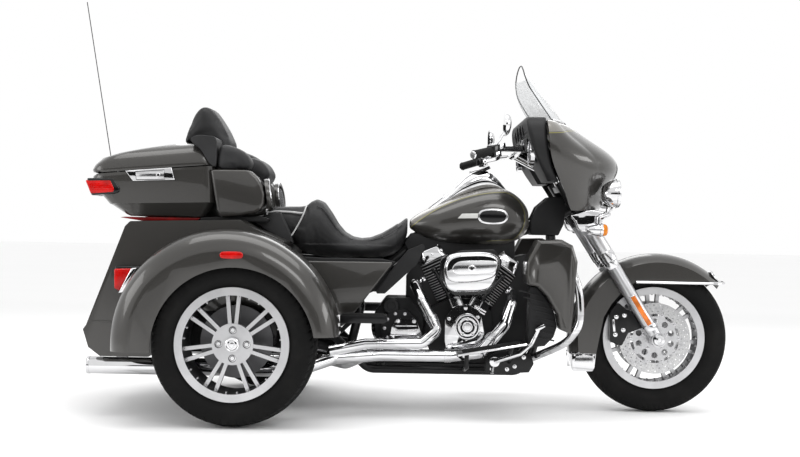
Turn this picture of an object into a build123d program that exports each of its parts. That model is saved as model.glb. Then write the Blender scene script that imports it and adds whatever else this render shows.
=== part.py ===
"""Touring motorcycle with two driven rear wheels, a fairing, a trunk and a top case.

Millimetres. X points forward, Y to the rider's left and Z up. The origin is on the
ground, under the middle of the overall box.
"""
import os
from math import cos, hypot, radians, sin

from build123d import *

# Wheels and their places
TYRE_R = 315
AXLE_Z = TYRE_R
REAR_AXLE_X = -607
WHEELBASE = 1703
FRONT_AXLE_X = REAR_AXLE_X + WHEELBASE
FRONT_TYRE_WIDTH = 130
REAR_TYRE_WIDTH = 205
REAR_WHEEL_Y = 565
TYRE_GAP_IN, TYRE_GAP_OUT = 32.5, 27.5
BEAD_R = 203
LIP_R = 215
SPOKE_PAIRS = 7
AXLE_R = 12.5
STUB_R = 20

# Clearances
FIT = 0.05
SEAT_GAP = 0.3
SEAM = 5

# Steering: rake of the head and slant of the fork, in degrees
RAKE = 26
TRAIL = 99
FORK_ANGLE = 32.2
FORK_Y = 122
HEAD_Z = 880
HEAD_LENGTH = 150
CLAMP_SHIFT_LOW, CLAMP_SHIFT_HIGH = -12.2, -31.3
HEAD_R = 34
STEM_R = 20

# Engine
CRANK_X, CRANK_Z = 285, 365
REAR_LEAN, FRONT_LEAN = 25, 35
BARREL_FROM, BARREL_TO, HEAD_TO, ROCKER_TO = 128, 232, 292, 345
FIN_LENGTH, FIN_WIDTH, FIN_THICK, FIN_COUNT = 136, 150, 3.2, 12

# Body
BODY_HALF = REAR_WHEEL_Y - REAR_TYRE_WIDTH / 2 - TYRE_GAP_IN
FENDER_X, FENDER_R = -640, 430
FENDER_HALF = REAR_WHEEL_Y + REAR_TYRE_WIDTH / 2 + TYRE_GAP_OUT
PANEL = 7
DECK_Z = 783
CASE_HALF = 285
CASE_WALL = 5
CASE_FLOOR_Z = DECK_Z + 8
TANK_HALF = 152

# Places and directions worked out from those sizes
STEER_GROUND_X = FRONT_AXLE_X + TRAIL
HEAD_X = STEER_GROUND_X - HEAD_Z * sin(radians(RAKE)) / cos(radians(RAKE))
STEER_UP = (-sin(radians(RAKE)), 0, cos(radians(RAKE)))
STEER_FORE = (cos(radians(RAKE)), 0, sin(radians(RAKE)))
HEAD = Plane(origin=(HEAD_X, 0, HEAD_Z), x_dir=STEER_FORE, z_dir=STEER_UP)
FORK_UP = (-sin(radians(FORK_ANGLE)), 0, cos(radians(FORK_ANGLE)))
FORK_FORE = (cos(radians(FORK_ANGLE)), 0, sin(radians(FORK_ANGLE)))


def fork_plane(distance, y=0):
    """Plane square to the fork, at a distance up the leg from the front axle."""
    return Plane(
        origin=(FRONT_AXLE_X + FORK_UP[0] * distance, y, AXLE_Z + FORK_UP[2] * distance),
        x_dir=FORK_FORE,
        z_dir=FORK_UP,
    )


def cylinder_plane(lean, distance):
    """Plane square to an engine cylinder that leans by an angle, forward positive."""
    up = (sin(radians(lean)), 0, cos(radians(lean)))
    fore = (cos(radians(lean)), 0, -sin(radians(lean)))
    origin = (CRANK_X + up[0] * distance, 0, CRANK_Z + up[2] * distance)
    return Plane(origin=origin, x_dir=fore, z_dir=up)


def rod(route, radius, bend=0, mode=Mode.ADD):
    """Round bar along a route of points, in the open part."""
    with BuildLine() as line:
        if len(route) == 2:
            Line(*route)
        elif bend:
            FilletPolyline(*route, radius=bend)
        else:
            Polyline(*route)
    with BuildSketch(Plane(origin=line.line @ 0, z_dir=line.line % 0)) as section:
        Circle(radius)
    sweep(section.sketch, path=line.line, mode=mode)


def slab(points, y_from, y_to, corner=0, mode=Mode.ADD):
    """Side outline in X and Z, extruded from one Y to another, in the open part."""
    with BuildSketch(Plane.XZ.offset(-y_from)) as outline:
        with BuildLine():
            if corner:
                FilletPolyline(*points, radius=corner, close=True)
            else:
                Polyline(*points, close=True)
        make_face()
    extrude(outline.sketch, amount=y_from - y_to, mode=mode)


def disc(x, y, z, radius, thick, mode=Mode.ADD):
    """Flat disc across the machine, from y towards plus Y, in the open part."""
    with BuildSketch(Plane(origin=(x, y, z), x_dir=(1, 0, 0), z_dir=(0, 1, 0))) as face:
        Circle(radius)
    extrude(face.sketch, amount=thick, mode=mode)


def wheel_plane(x, y):
    """Plane that holds the axle line, for a section turned round it."""
    return Plane(origin=(x, y, AXLE_Z), x_dir=(0, 1, 0), z_dir=(1, 0, 0))


def axle_line(x):
    """The axle's line as a turning axis."""
    return Axis((x, 0, AXLE_Z), (0, 1, 0))


def tyre_solid(x, y, width, rim_half):
    """Tyre with rounded shoulders, in the open part."""
    half = width / 2
    tread = half * 0.88
    bead = BEAD_R + SEAT_GAP
    with BuildSketch(wheel_plane(x, y)) as section:
        with BuildLine():
            Line((-rim_half, bead), (rim_half, bead))
            Line((rim_half, bead), (rim_half, LIP_R + 3))
            ThreePointArc((rim_half, LIP_R + 3), (half, TYRE_R - 55), (tread, TYRE_R - 16))
            ThreePointArc((tread, TYRE_R - 16), (0, TYRE_R), (-tread, TYRE_R - 16))
            ThreePointArc((-tread, TYRE_R - 16), (-half, TYRE_R - 55), (-rim_half, LIP_R + 3))
            Line((-rim_half, LIP_R + 3), (-rim_half, bead))
        make_face()
    revolve(section.sketch, axis=axle_line(x))


def rim_ring(x, y, rim_half):
    """Barrel and lips of a cast wheel, in the open part."""
    lip = rim_half + 9
    seat = rim_half + SEAT_GAP
    inner = BEAD_R - 12
    with BuildSketch(wheel_plane(x, y)) as section:
        with BuildLine():
            Polyline(
                (-lip, inner - 6),
                (-lip, LIP_R),
                (-seat, LIP_R),
                (-seat, BEAD_R),
                (seat, BEAD_R),
                (seat, LIP_R),
                (lip, LIP_R),
                (lip, inner - 6),
                (rim_half - 8, inner),
                (8 - rim_half, inner),
                close=True,
            )
        make_face()
    revolve(section.sketch, axis=axle_line(x))


def spokes(x, y, thick, hub_r):
    """Pairs of slightly spread bars from hub to barrel, in the open part."""
    outer = BEAD_R - 8
    bar = [(hub_r - 6, 4), (outer, 15), (outer, 30), (hub_r - 6, 18)]
    twin = [(u, -v) for u, v in bar]
    with BuildSketch(Plane.XZ.offset(-y - thick / 2)) as bars:
        with Locations((x, AXLE_Z)):
            with PolarLocations(0, SPOKE_PAIRS, start_angle=90):
                Polygon(*bar, align=None)
                Polygon(*twin, align=None)
    extrude(bars.sketch, amount=thick)


os.makedirs("parts", exist_ok=True)

# Front wheel: tyre, cast rim and two brake discs
FRONT_RIM_HALF = 42
FRONT_HUB_HALF = 70
FRONT_DISC_R = 150
FRONT_DISC_Y = 62
DISC_THICK = 5

with BuildPart() as front_tyre:
    tyre_solid(FRONT_AXLE_X, 0, FRONT_TYRE_WIDTH, FRONT_RIM_HALF)
front_tyre.part.label = "front_tyre"
export_step(front_tyre.part, "parts/front_tyre.step")

with BuildPart() as front_rim:
    rim_ring(FRONT_AXLE_X, 0, FRONT_RIM_HALF)
    spokes(FRONT_AXLE_X, 0, 26, 52)
    disc(FRONT_AXLE_X, -35, AXLE_Z, 56, 70)
    disc(FRONT_AXLE_X, -FRONT_DISC_Y, AXLE_Z, 50, 2 * FRONT_DISC_Y)
    disc(FRONT_AXLE_X, -FRONT_HUB_HALF, AXLE_Z, 36, 2 * FRONT_HUB_HALF)
    disc(FRONT_AXLE_X, -FRONT_HUB_HALF - 1, AXLE_Z, AXLE_R + FIT, 2 * FRONT_HUB_HALF + 2, Mode.SUBTRACT)
front_rim.part.label = "front_rim"
export_step(front_rim.part, "parts/front_rim.step")

with BuildPart() as front_discs:
    with BuildSketch(Plane.XZ.offset(FRONT_DISC_Y + SEAT_GAP)):
        with Locations((FRONT_AXLE_X, AXLE_Z)):
            Circle(FRONT_DISC_R)
            Circle(36 + SEAT_GAP, mode=Mode.SUBTRACT)
            with PolarLocations(78, 10, start_angle=18):
                Circle(13, mode=Mode.SUBTRACT)
            with PolarLocations(128, 20):
                Circle(6, mode=Mode.SUBTRACT)
    extrude(amount=DISC_THICK)
    mirror(about=Plane.XZ)
front_discs.part.label = "front_discs"
export_step(front_discs.part, "parts/front_discs.step")

# Rear wheels: each turns with a stub shaft in the axle housing
REAR_RIM_HALF = 82
REAR_HUB_Y = REAR_WHEEL_Y + 48
HOUSING_HALF = 480
STUB_END_Y = 300
REAR_DISC_R = 140
REAR_DISC_Y = 505


def rear_rim_solid():
    """Left rear rim with hub, stub shaft and brake disc, in the open part."""
    rim_ring(REAR_AXLE_X, REAR_WHEEL_Y, REAR_RIM_HALF)
    spokes(REAR_AXLE_X, REAR_HUB_Y, 26, 76)
    disc(REAR_AXLE_X, REAR_HUB_Y - 16, AXLE_Z, 78, 32)
    disc(REAR_AXLE_X, REAR_HUB_Y + 10, AXLE_Z, 27, 20)
    with BuildSketch(Plane.XZ.offset(-REAR_HUB_Y - 17)) as lug_seats:
        with Locations((REAR_AXLE_X, AXLE_Z)):
            with PolarLocations(53, 4):
                Circle(15)
    extrude(lug_seats.sketch, amount=12, mode=Mode.SUBTRACT)
    disc(REAR_AXLE_X, REAR_DISC_Y - 20, AXLE_Z, 60, REAR_HUB_Y - REAR_DISC_Y + 10)
    disc(REAR_AXLE_X, REAR_DISC_Y, AXLE_Z, REAR_DISC_R, 8)
    disc(REAR_AXLE_X, STUB_END_Y, AXLE_Z, STUB_R, REAR_DISC_Y - STUB_END_Y)


with BuildPart() as rear_tyre_left:
    tyre_solid(REAR_AXLE_X, REAR_WHEEL_Y, REAR_TYRE_WIDTH, REAR_RIM_HALF)
rear_tyre_left.part.label = "rear_tyre_left"
export_step(rear_tyre_left.part, "parts/rear_tyre_left.step")

with BuildPart() as rear_rim_left:
    rear_rim_solid()
rear_rim_left.part.label = "rear_rim_left"
export_step(rear_rim_left.part, "parts/rear_rim_left.step")

with BuildPart() as rear_tyre_right:
    tyre_solid(REAR_AXLE_X, -REAR_WHEEL_Y, REAR_TYRE_WIDTH, REAR_RIM_HALF)
rear_tyre_right.part.label = "rear_tyre_right"
export_step(rear_tyre_right.part, "parts/rear_tyre_right.step")

with BuildPart() as rear_rim_right:
    add(mirror(rear_rim_left.part, about=Plane.XZ, mode=Mode.PRIVATE))
rear_rim_right.part.label = "rear_rim_right"
export_step(rear_rim_right.part, "parts/rear_rim_right.step")

# Frame: cradle rails, backbone and steering head
RAIL_R = 17
RAIL_Y = 120
RAIL_Z = 172
BACKBONE_R = 28
BACKBONE_Z = 742
SADDLE_Z = 585
PIVOT_X, PIVOT_Z = -190, 250
TRUNK_FRONT_X = -440

with BuildPart() as frame:
    rod(
        [
            (650, -12, 815),
            (665, -52, 650),
            (640, -80, 470),
            (572, -RAIL_Y, 250),
            (520, -RAIL_Y, RAIL_Z),
            (-110, -RAIL_Y, RAIL_Z),
            (-190, -150, 250),
            (-330, -172, 385),
            (TRUNK_FRONT_X + 11, -180, 450),
        ],
        RAIL_R,
        60,
    )
    rod([(300, -RAIL_Y, RAIL_Z), (300, 0, RAIL_Z)], RAIL_R)
    rod([(-60, -RAIL_Y, RAIL_Z), (-60, 0, RAIL_Z)], RAIL_R)
    rod([(PIVOT_X, -150, PIVOT_Z), (PIVOT_X, 0, PIVOT_Z)], RAIL_R)
    rod([(-190, -150, 250), (-150, -150, 420), (-200, -110, SADDLE_Z)], RAIL_R, 50)
    rod([(-120, 0, SADDLE_Z), (-160, -110, SADDLE_Z), (TRUNK_FRONT_X + 3, -150, SADDLE_Z)], RAIL_R, 40)
    mirror(about=Plane.XZ)
    rod(
        [
            (HEAD_X - 6, 0, HEAD_Z - 8),
            (90 + 0.74 * (HEAD_X - 90), 0, BACKBONE_Z + 40),
            (90 + 0.533 * (HEAD_X - 90), 0, BACKBONE_Z),
            (90, 0, BACKBONE_Z - 15),
            (-60, 0, SADDLE_Z + 10),
            (-200, 0, SADDLE_Z),
        ],
        BACKBONE_R,
        80,
    )
    slab([(436, 755), (436, 788.2), (470, 788.2), (470, 755)], -22, 22)
    slab([(96, 745), (96, 774.6), (120, 774.6), (120, 745)], -22, 22)
    with BuildSketch(HEAD.offset(-HEAD_LENGTH / 2)):
        Circle(HEAD_R)
    extrude(amount=HEAD_LENGTH)
    with BuildSketch(HEAD.offset(-HEAD_LENGTH)):
        Circle(STEM_R + FIT)
    extrude(amount=2 * HEAD_LENGTH, mode=Mode.SUBTRACT)
frame.part.label = "frame"
export_step(frame.part, "parts/frame.step")

# Rear axle housing with its two arms to the frame
ARM_Y = 95
ARM_R = 24
ARM_FRONT_X = PIVOT_X - RAIL_R - SEAT_GAP
with BuildPart() as rear_axle:
    disc(REAR_AXLE_X, -HOUSING_HALF, AXLE_Z, 42, 2 * HOUSING_HALF)
    disc(REAR_AXLE_X, -90, AXLE_Z, 96, 150)
    disc(REAR_AXLE_X, HOUSING_HALF - 26, AXLE_Z, 62, 26)
    disc(REAR_AXLE_X, -HOUSING_HALF, AXLE_Z, 62, 26)
    rod([(REAR_AXLE_X, ARM_Y, AXLE_Z), (ARM_FRONT_X, ARM_Y, PIVOT_Z + 6)], ARM_R)
    rod([(REAR_AXLE_X, -ARM_Y, AXLE_Z), (ARM_FRONT_X, -ARM_Y, PIVOT_Z + 6)], ARM_R)
    disc(REAR_AXLE_X, -HOUSING_HALF - 1, AXLE_Z, STUB_R + FIT, 2 * HOUSING_HALF + 2, Mode.SUBTRACT)
rear_axle.part.label = "rear_axle"
export_step(rear_axle.part, "parts/rear_axle.step")

# Rear calipers grip the discs ahead of the axle
with BuildPart() as rear_calipers:
    slab(
        [
            (REAR_AXLE_X + 60, 330),
            (REAR_AXLE_X + 150, 300),
            (REAR_AXLE_X + 160, 400),
            (REAR_AXLE_X + 90, 440),
        ],
        REAR_DISC_Y - 22,
        REAR_DISC_Y - 5,
        12,
    )
    slab(
        [
            (REAR_AXLE_X + 62.3, 300),
            (REAR_AXLE_X + 120, 290),
            (REAR_AXLE_X + 120, 360),
            (REAR_AXLE_X + 62.3, 350),
        ],
        HOUSING_HALF - 24,
        REAR_DISC_Y - 10,
    )
    mirror(about=Plane.XZ)
rear_calipers.part.label = "rear_calipers"
export_step(rear_calipers.part, "parts/rear_calipers.step")

# Engine: crankcase, two leaning finned cylinders and their rocker boxes
CASE_HALF_Y = 88
GEARBOX_HALF = 105
with BuildPart() as crankcase:
    slab(
        [
            (190, 200),
            (395, 200),
            (420, 300),
            (400, 420),
            (340, 470),
            (225, 470),
            (150, 430),
            (120, 330),
            (150, 230),
        ],
        -CASE_HALF_Y,
        CASE_HALF_Y,
        24,
    )
    for lean in (-REAR_LEAN, FRONT_LEAN):
        with BuildSketch(cylinder_plane(lean, 0)):
            RectangleRounded(112, 120, 18)
        extrude(amount=BARREL_FROM - SEAT_GAP)
    slab([(284, 189.4), (316, 189.4), (322, 206), (278, 206)], -40, 40)
    disc(CRANK_X, CASE_HALF_Y - 8, 338, 62, GEARBOX_HALF - CASE_HALF_Y + 8)
crankcase.part.label = "crankcase"
export_step(crankcase.part, "parts/crankcase.step")

with BuildPart() as cylinders:
    pitch = (HEAD_TO - BARREL_FROM - FIN_THICK) / (FIN_COUNT - 1)
    for lean in (-REAR_LEAN, FRONT_LEAN):
        with BuildSketch(cylinder_plane(lean, BARREL_FROM)):
            Circle(50)
        extrude(amount=HEAD_TO - BARREL_FROM)
        for level in range(FIN_COUNT):
            with BuildSketch(cylinder_plane(lean, BARREL_FROM + level * pitch)):
                RectangleRounded(FIN_LENGTH - 26 * (level < 2), FIN_WIDTH - 20 * (level < 2), 30)
            extrude(amount=FIN_THICK)
    rod([(190, 0, 590), (290, 0, 612), (410, 0, 590)], 19, 60)
    disc(290, -75, 600, 30, 90)
cylinders.part.label = "cylinders"
export_step(cylinders.part, "parts/cylinders.step")

with BuildPart() as rocker_covers:
    for lean in (-REAR_LEAN, FRONT_LEAN):
        with BuildSketch(cylinder_plane(lean, HEAD_TO + SEAT_GAP)):
            RectangleRounded(122, 176, 26)
        with BuildSketch(cylinder_plane(lean, ROCKER_TO)):
            RectangleRounded(96, 150, 26)
        loft()
rocker_covers.part.label = "rocker_covers"
export_step(rocker_covers.part, "parts/rocker_covers.step")

# Chrome covers on the right: cam cover with timer lid and tappet blocks, gearbox side cover
CAM_FACE_Y = -CASE_HALF_Y - SEAT_GAP
with BuildPart() as engine_covers:
    slab(
        [(206, 300), (216, 250), (330, 250), (368, 330), (352, 420), (300, 452), (240, 440), (206, 390)],
        CAM_FACE_Y - 92,
        CAM_FACE_Y,
        26,
    )
    disc(297, CAM_FACE_Y - 112, 360, 54, 30)
    for lean in (-REAR_LEAN, FRONT_LEAN):
        with BuildSketch(cylinder_plane(lean * 0.8, 62)):
            with Locations((0, CAM_FACE_Y - 40)):
                RectangleRounded(52, 62, 8)
        extrude(amount=60)
    slab(
        [(-22, 300), (-14, 352), (6, 388), (84, 388), (100, 350), (112, 320), (104, 298)],
        -GEARBOX_HALF - 40 - SEAT_GAP - 34,
        -GEARBOX_HALF - 40 - SEAT_GAP,
        8,
    )
engine_covers.part.label = "engine_covers"
export_step(engine_covers.part, "parts/engine_covers.step")

# Gearbox behind the crankcase
with BuildPart() as gearbox:
    slab(
        [(-75, 250), (115, 236), (116, 400), (60, 470), (-40, 470), (-90, 400)],
        -GEARBOX_HALF,
        GEARBOX_HALF,
        22,
    )
    disc(20, -GEARBOX_HALF - 40, 345, 78, 50)
    slab([(-78, 189.4), (-42, 189.4), (-36, 262), (-84, 262)], -30, 30)
gearbox.part.label = "gearbox"
export_step(gearbox.part, "parts/gearbox.step")

# Primary drive cover on the left, from the crank to the clutch
with BuildPart() as primary_cover:
    with BuildSketch(Plane.XZ.offset(-GEARBOX_HALF - SEAT_GAP)):
        with BuildLine():
            Line((CRANK_X, 415), (15, 440))
            ThreePointArc((15, 440), (-105, 330), (15, 222))
            Line((15, 222), (CRANK_X, 262))
            ThreePointArc((CRANK_X, 262), (CRANK_X + 78, 338), (CRANK_X, 415))
        make_face()
    extrude(amount=-88)
    fillet(primary_cover.faces().sort_by(Axis.Y)[-1].edges(), 22)
primary_cover.part.label = "primary_cover"
export_step(primary_cover.part, "parts/primary_cover.step")

# Air cleaner on the right: dark backplate and bright cover
AIR_BACK_Y = -205
AIR_MID_Y = -262
AIR_FACE_Y = -335
with BuildPart() as air_cleaner_backplate:
    slab(
        [(176, 560), (182, 640), (262, 676), (400, 682), (430, 634), (404, 545), (360, 498), (236, 492)],
        AIR_MID_Y,
        AIR_BACK_Y,
        18,
    )
    with BuildSketch(Plane.XZ.offset(-AIR_BACK_Y)):
        with Locations((290, 600)):
            Circle(34)
    extrude(amount=AIR_BACK_Y + 75 + SEAT_GAP)
air_cleaner_backplate.part.label = "air_cleaner_backplate"
export_step(air_cleaner_backplate.part, "parts/air_cleaner_backplate.step")

with BuildPart() as air_cleaner_cover:
    slab(
        [(180, 556), (188, 640), (268, 667), (400, 676), (418, 636), (396, 540), (372, 522), (204, 524)],
        AIR_FACE_Y,
        AIR_MID_Y - SEAT_GAP,
        14,
    )
    fillet(air_cleaner_cover.faces().sort_by(Axis.Y)[0].edges(), 12)
air_cleaner_cover.part.label = "air_cleaner_cover"
export_step(air_cleaner_cover.part, "parts/air_cleaner_cover.step")

# Exhaust: one header from each cylinder, a pipe across, and a muffler on each side
PIPE_R = 25
MUFFLER_R = 34
MUFFLER_Y = 388
MUFFLER_Z = 200
MUFFLER_END_X = -1207
MUFFLER_START_X = -420
with BuildPart() as exhaust:
    rod(
        [
            (471.1, -40, 510.9),
            (494.6, -40, 494.5),
            (482, -130, 452),
            (448, -196, 370),
            (350, -225, 260),
            (230, -250, 246),
            (-60, -262, 246),
            (-240, -280, 232),
            (MUFFLER_START_X + 60, -MUFFLER_Y, MUFFLER_Z),
            (MUFFLER_START_X, -MUFFLER_Y, MUFFLER_Z),
        ],
        PIPE_R,
        22,
    )
    rod(
        [
            (123.1, -30, 549.9),
            (93, -30, 535.9),
            (80, -172, 530),
            (108, -240, 470),
            (172, -265, 350),
            (110, -278, 296),
            (-120, -290, 292),
            (-262, -300, 262),
        ],
        22,
        29,
    )
    rod(
        [
            (-130, -262, 240),
            (-200, -215, 205),
            (-275, -90, 205),
            (-275, 210, 205),
            (MUFFLER_START_X + 70, MUFFLER_Y, MUFFLER_Z),
            (MUFFLER_START_X, MUFFLER_Y, MUFFLER_Z),
        ],
        PIPE_R,
        40,
    )
exhaust.part.label = "exhaust"
export_step(exhaust.part, "parts/exhaust.step")

with BuildPart() as mufflers:
    with BuildSketch(Plane.YZ.offset(MUFFLER_START_X)):
        with Locations((-MUFFLER_Y, MUFFLER_Z)):
            Circle(PIPE_R + 2)
    with BuildSketch(Plane.YZ.offset(MUFFLER_START_X - 80)):
        with Locations((-MUFFLER_Y, MUFFLER_Z)):
            Circle(MUFFLER_R)
    loft()
    with BuildSketch(Plane.YZ.offset(MUFFLER_START_X - 80)):
        with Locations((-MUFFLER_Y, MUFFLER_Z)):
            Circle(MUFFLER_R)
    extrude(amount=MUFFLER_END_X - MUFFLER_START_X + 80)
    with BuildSketch(Plane.YZ.offset(MUFFLER_END_X)):
        with Locations((-MUFFLER_Y, MUFFLER_Z)):
            Circle(MUFFLER_R - 4)
    extrude(amount=90, mode=Mode.SUBTRACT)
    slab([(-1100, 229), (-1094, 239.7), (-1056, 239.7), (-1050, 229)], -MUFFLER_Y - 8, 8 - MUFFLER_Y)
    mirror(about=Plane.XZ)
mufflers.part.label = "mufflers"
export_step(mufflers.part, "parts/mufflers.step")

# Trunk between the rear wheels: a hollow body with a door in its sloping tail
TRUNK_FLOOR_Z = 425
TAIL_TOP = (-1064, 751)
TAIL_FOOT = (-1210, 361)
TAIL_LENGTH = hypot(TAIL_TOP[0] - TAIL_FOOT[0], TAIL_TOP[1] - TAIL_FOOT[1])
TAIL_UP = ((TAIL_TOP[0] - TAIL_FOOT[0]) / TAIL_LENGTH, 0, (TAIL_TOP[1] - TAIL_FOOT[1]) / TAIL_LENGTH)
TAIL_OUT = (-TAIL_UP[2], 0, TAIL_UP[0])
TAIL = Plane(origin=(TAIL_FOOT[0], 0, TAIL_FOOT[1]), x_dir=(0, -1, 0), z_dir=TAIL_OUT)
DOOR_HALF, DOOR_FROM, DOOR_TO = 300, 70, 372
HINGE_R, HINGE_PIN_R = 9, 4
HINGE_Y = (-200, 200)
DOOR_HINGE_S = DOOR_FROM - 8
DOOR_HINGE_X = TAIL_FOOT[0] + TAIL_UP[0] * DOOR_HINGE_S + TAIL_OUT[0] * (HINGE_R + 1)
DOOR_HINGE_Z = TAIL_FOOT[1] + TAIL_UP[2] * DOOR_HINGE_S + TAIL_OUT[2] * (HINGE_R + 1)
TRUNK_SIDE = [
    (TRUNK_FRONT_X, TRUNK_FLOOR_Z),
    (TRUNK_FRONT_X, 700),
    (-560, 751),
    (-614, DECK_Z),
    (-1044, 771),
    TAIL_TOP,
    TAIL_FOOT,
    (-1222, 345),
    (-1200, 275),
    (-1153, 240),
    (-964, 240),
    (-900, 310),
    (-800, TRUNK_FLOOR_Z),
]
with BuildPart() as rear_body:
    slab(TRUNK_SIDE, -BODY_HALF, BODY_HALF)
    fillet(rear_body.edges().filter_by(Axis.Y).sort_by(Axis.Z)[-3:], 14)
    with BuildSketch(Plane.XZ.offset(BODY_HALF - PANEL)) as cavity:
        with BuildLine():
            Polyline(*TRUNK_SIDE, close=True)
        make_face()
        offset(amount=-PANEL, kind=Kind.INTERSECTION)
    extrude(amount=-2 * (BODY_HALF - PANEL), mode=Mode.SUBTRACT)
    with BuildSketch(TAIL.offset(-60)):
        with Locations((0, (DOOR_FROM + DOOR_TO) / 2)):
            RectangleRounded(2 * (DOOR_HALF + SEAM), DOOR_TO - DOOR_FROM + 2 * SEAM, 30)
    extrude(amount=120, mode=Mode.SUBTRACT)
    for y in HINGE_Y:
        disc(DOOR_HINGE_X, y - 26, DOOR_HINGE_Z, HINGE_PIN_R, 52)
        for side in (-26, 16):
            disc(DOOR_HINGE_X, y + side, DOOR_HINGE_Z, HINGE_R, 10)
            with BuildSketch(TAIL.offset(-4)):
                with Locations((-y - side - 5, DOOR_HINGE_S - 12)):
                    Rectangle(10, 24)
            extrude(amount=HINGE_R + 4)
rear_body.part.label = "rear_body"
export_step(rear_body.part, "parts/rear_body.step")

# Trunk door, hinged along its lower edge on the body's pins
with BuildPart() as trunk_door:
    with BuildSketch(TAIL.offset(-PANEL)):
        with Locations((0, (DOOR_FROM + DOOR_TO) / 2)):
            RectangleRounded(2 * DOOR_HALF, DOOR_TO - DOOR_FROM, 26)
    extrude(amount=PANEL)
    for y in HINGE_Y:
        with BuildSketch(TAIL):
            with Locations((-y, DOOR_FROM + 6)):
                Rectangle(30, 28)
        extrude(amount=6)
        disc(DOOR_HINGE_X, y - 15, DOOR_HINGE_Z, HINGE_R, 30)
    for y in HINGE_Y:
        disc(DOOR_HINGE_X, y - 16, DOOR_HINGE_Z, HINGE_PIN_R + FIT, 32, Mode.SUBTRACT)
trunk_door.part.label = "trunk_door"
export_step(trunk_door.part, "parts/trunk_door.step")

# Rear fenders: thick-shouldered arches outside the trunk
ARCH_R = 305
ARCH_X, ARCH_Z = -600, 300
FENDER_REAR_Z, FENDER_FRONT_Z = 283, 350


def fender_block(inset, shoulder):
    """Solid arch over the left wheel, drawn smaller by an inset."""
    with BuildPart() as block:
        with BuildSketch(Plane.XZ.offset(-BODY_HALF - SEAT_GAP)):
            with Locations((FENDER_X, AXLE_Z)):
                Circle(FENDER_R - inset)
            with Locations((FENDER_X, FENDER_REAR_Z - 500 - inset)):
                Rectangle(2000, 1000, mode=Mode.SUBTRACT)
            with Locations((FENDER_X + 500, FENDER_FRONT_Z - 500 - inset)):
                Rectangle(1000, 1000, mode=Mode.SUBTRACT)
        extrude(amount=-(FENDER_HALF - BODY_HALF - SEAT_GAP - inset))
        rim_edges = block.faces().sort_by(Axis.Y)[-1].edges().filter_by(GeomType.CIRCLE)
        fillet(rim_edges, shoulder)
    return block.part


fender_outer = fender_block(0, 90)
fender_inner = fender_block(PANEL, 84)
with BuildPart() as rear_fenders:
    add(fender_outer)
    add(fender_inner, mode=Mode.SUBTRACT)
    with BuildSketch(Plane.XZ.offset(-FENDER_HALF - 5)):
        with Locations((ARCH_X, ARCH_Z)):
            Circle(ARCH_R)
    extrude(amount=110, mode=Mode.SUBTRACT)
    mirror(about=Plane.XZ)
rear_fenders.part.label = "rear_fenders"
export_step(rear_fenders.part, "parts/rear_fenders.step")

# Red lamps at the tail corners, on the fenders' sides and under the top case
LAMP_SIDE = [(-1088, 590), (-992, 592), (-1012, 545), (-1046, 500), (-1082, 508)]
with BuildPart() as tail_lamps:
    slab(LAMP_SIDE, BODY_HALF + SEAT_GAP, BODY_HALF + 95, 8)
    with BuildSketch(Plane.XZ.offset(-FENDER_HALF - SEAT_GAP)):
        with Locations((-607, 651)):
            RectangleRounded(92, 30, 14)
    extrude(amount=-8)
    mirror(about=Plane.XZ)
tail_lamps.part.label = "tail_lamps"
export_step(tail_lamps.part, "parts/tail_lamps.step")

# Top case: rack, hollow base with two speaker pods, and a lid hinged on the left
LID_HINGE_Y, LID_HINGE_Z = CASE_HALF + 8, 992
LID_HINGE_X = (-1090, -850)
LID_PIN_R, LID_KNUCKLE_R = 3, 7
SEAM_REAR_Z, SEAM_FRONT_Z = 962, 1004
CASE_REAR_X, CASE_FRONT_X = -1222, -737
CASE_SIDE = [
    (CASE_FRONT_X, SEAM_FRONT_Z),
    (CASE_REAR_X, SEAM_REAR_Z),
    (-1252, 945),
    (-1195, 874),
    (-1106, CASE_FLOOR_Z),
    (-777, CASE_FLOOR_Z),
    (-730, 842),
]
RACK_SIDE = [
    (-785, 778.6),
    (-785, CASE_FLOOR_Z - SEAT_GAP),
    (-1040, CASE_FLOOR_Z - SEAT_GAP),
    (-1040, 771.5),
]
with BuildPart() as top_case_rack:
    for y in (-180, -15, 150):
        slab(RACK_SIDE, y, y + 30)
    for x in (-1000, -820):
        slab([(x - 15, 784), (x + 15, 784), (x + 15, RACK_SIDE[1][1]), (x - 15, RACK_SIDE[1][1])], -180, 180)
top_case_rack.part.label = "top_case_rack"
export_step(top_case_rack.part, "parts/top_case_rack.step")

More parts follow.
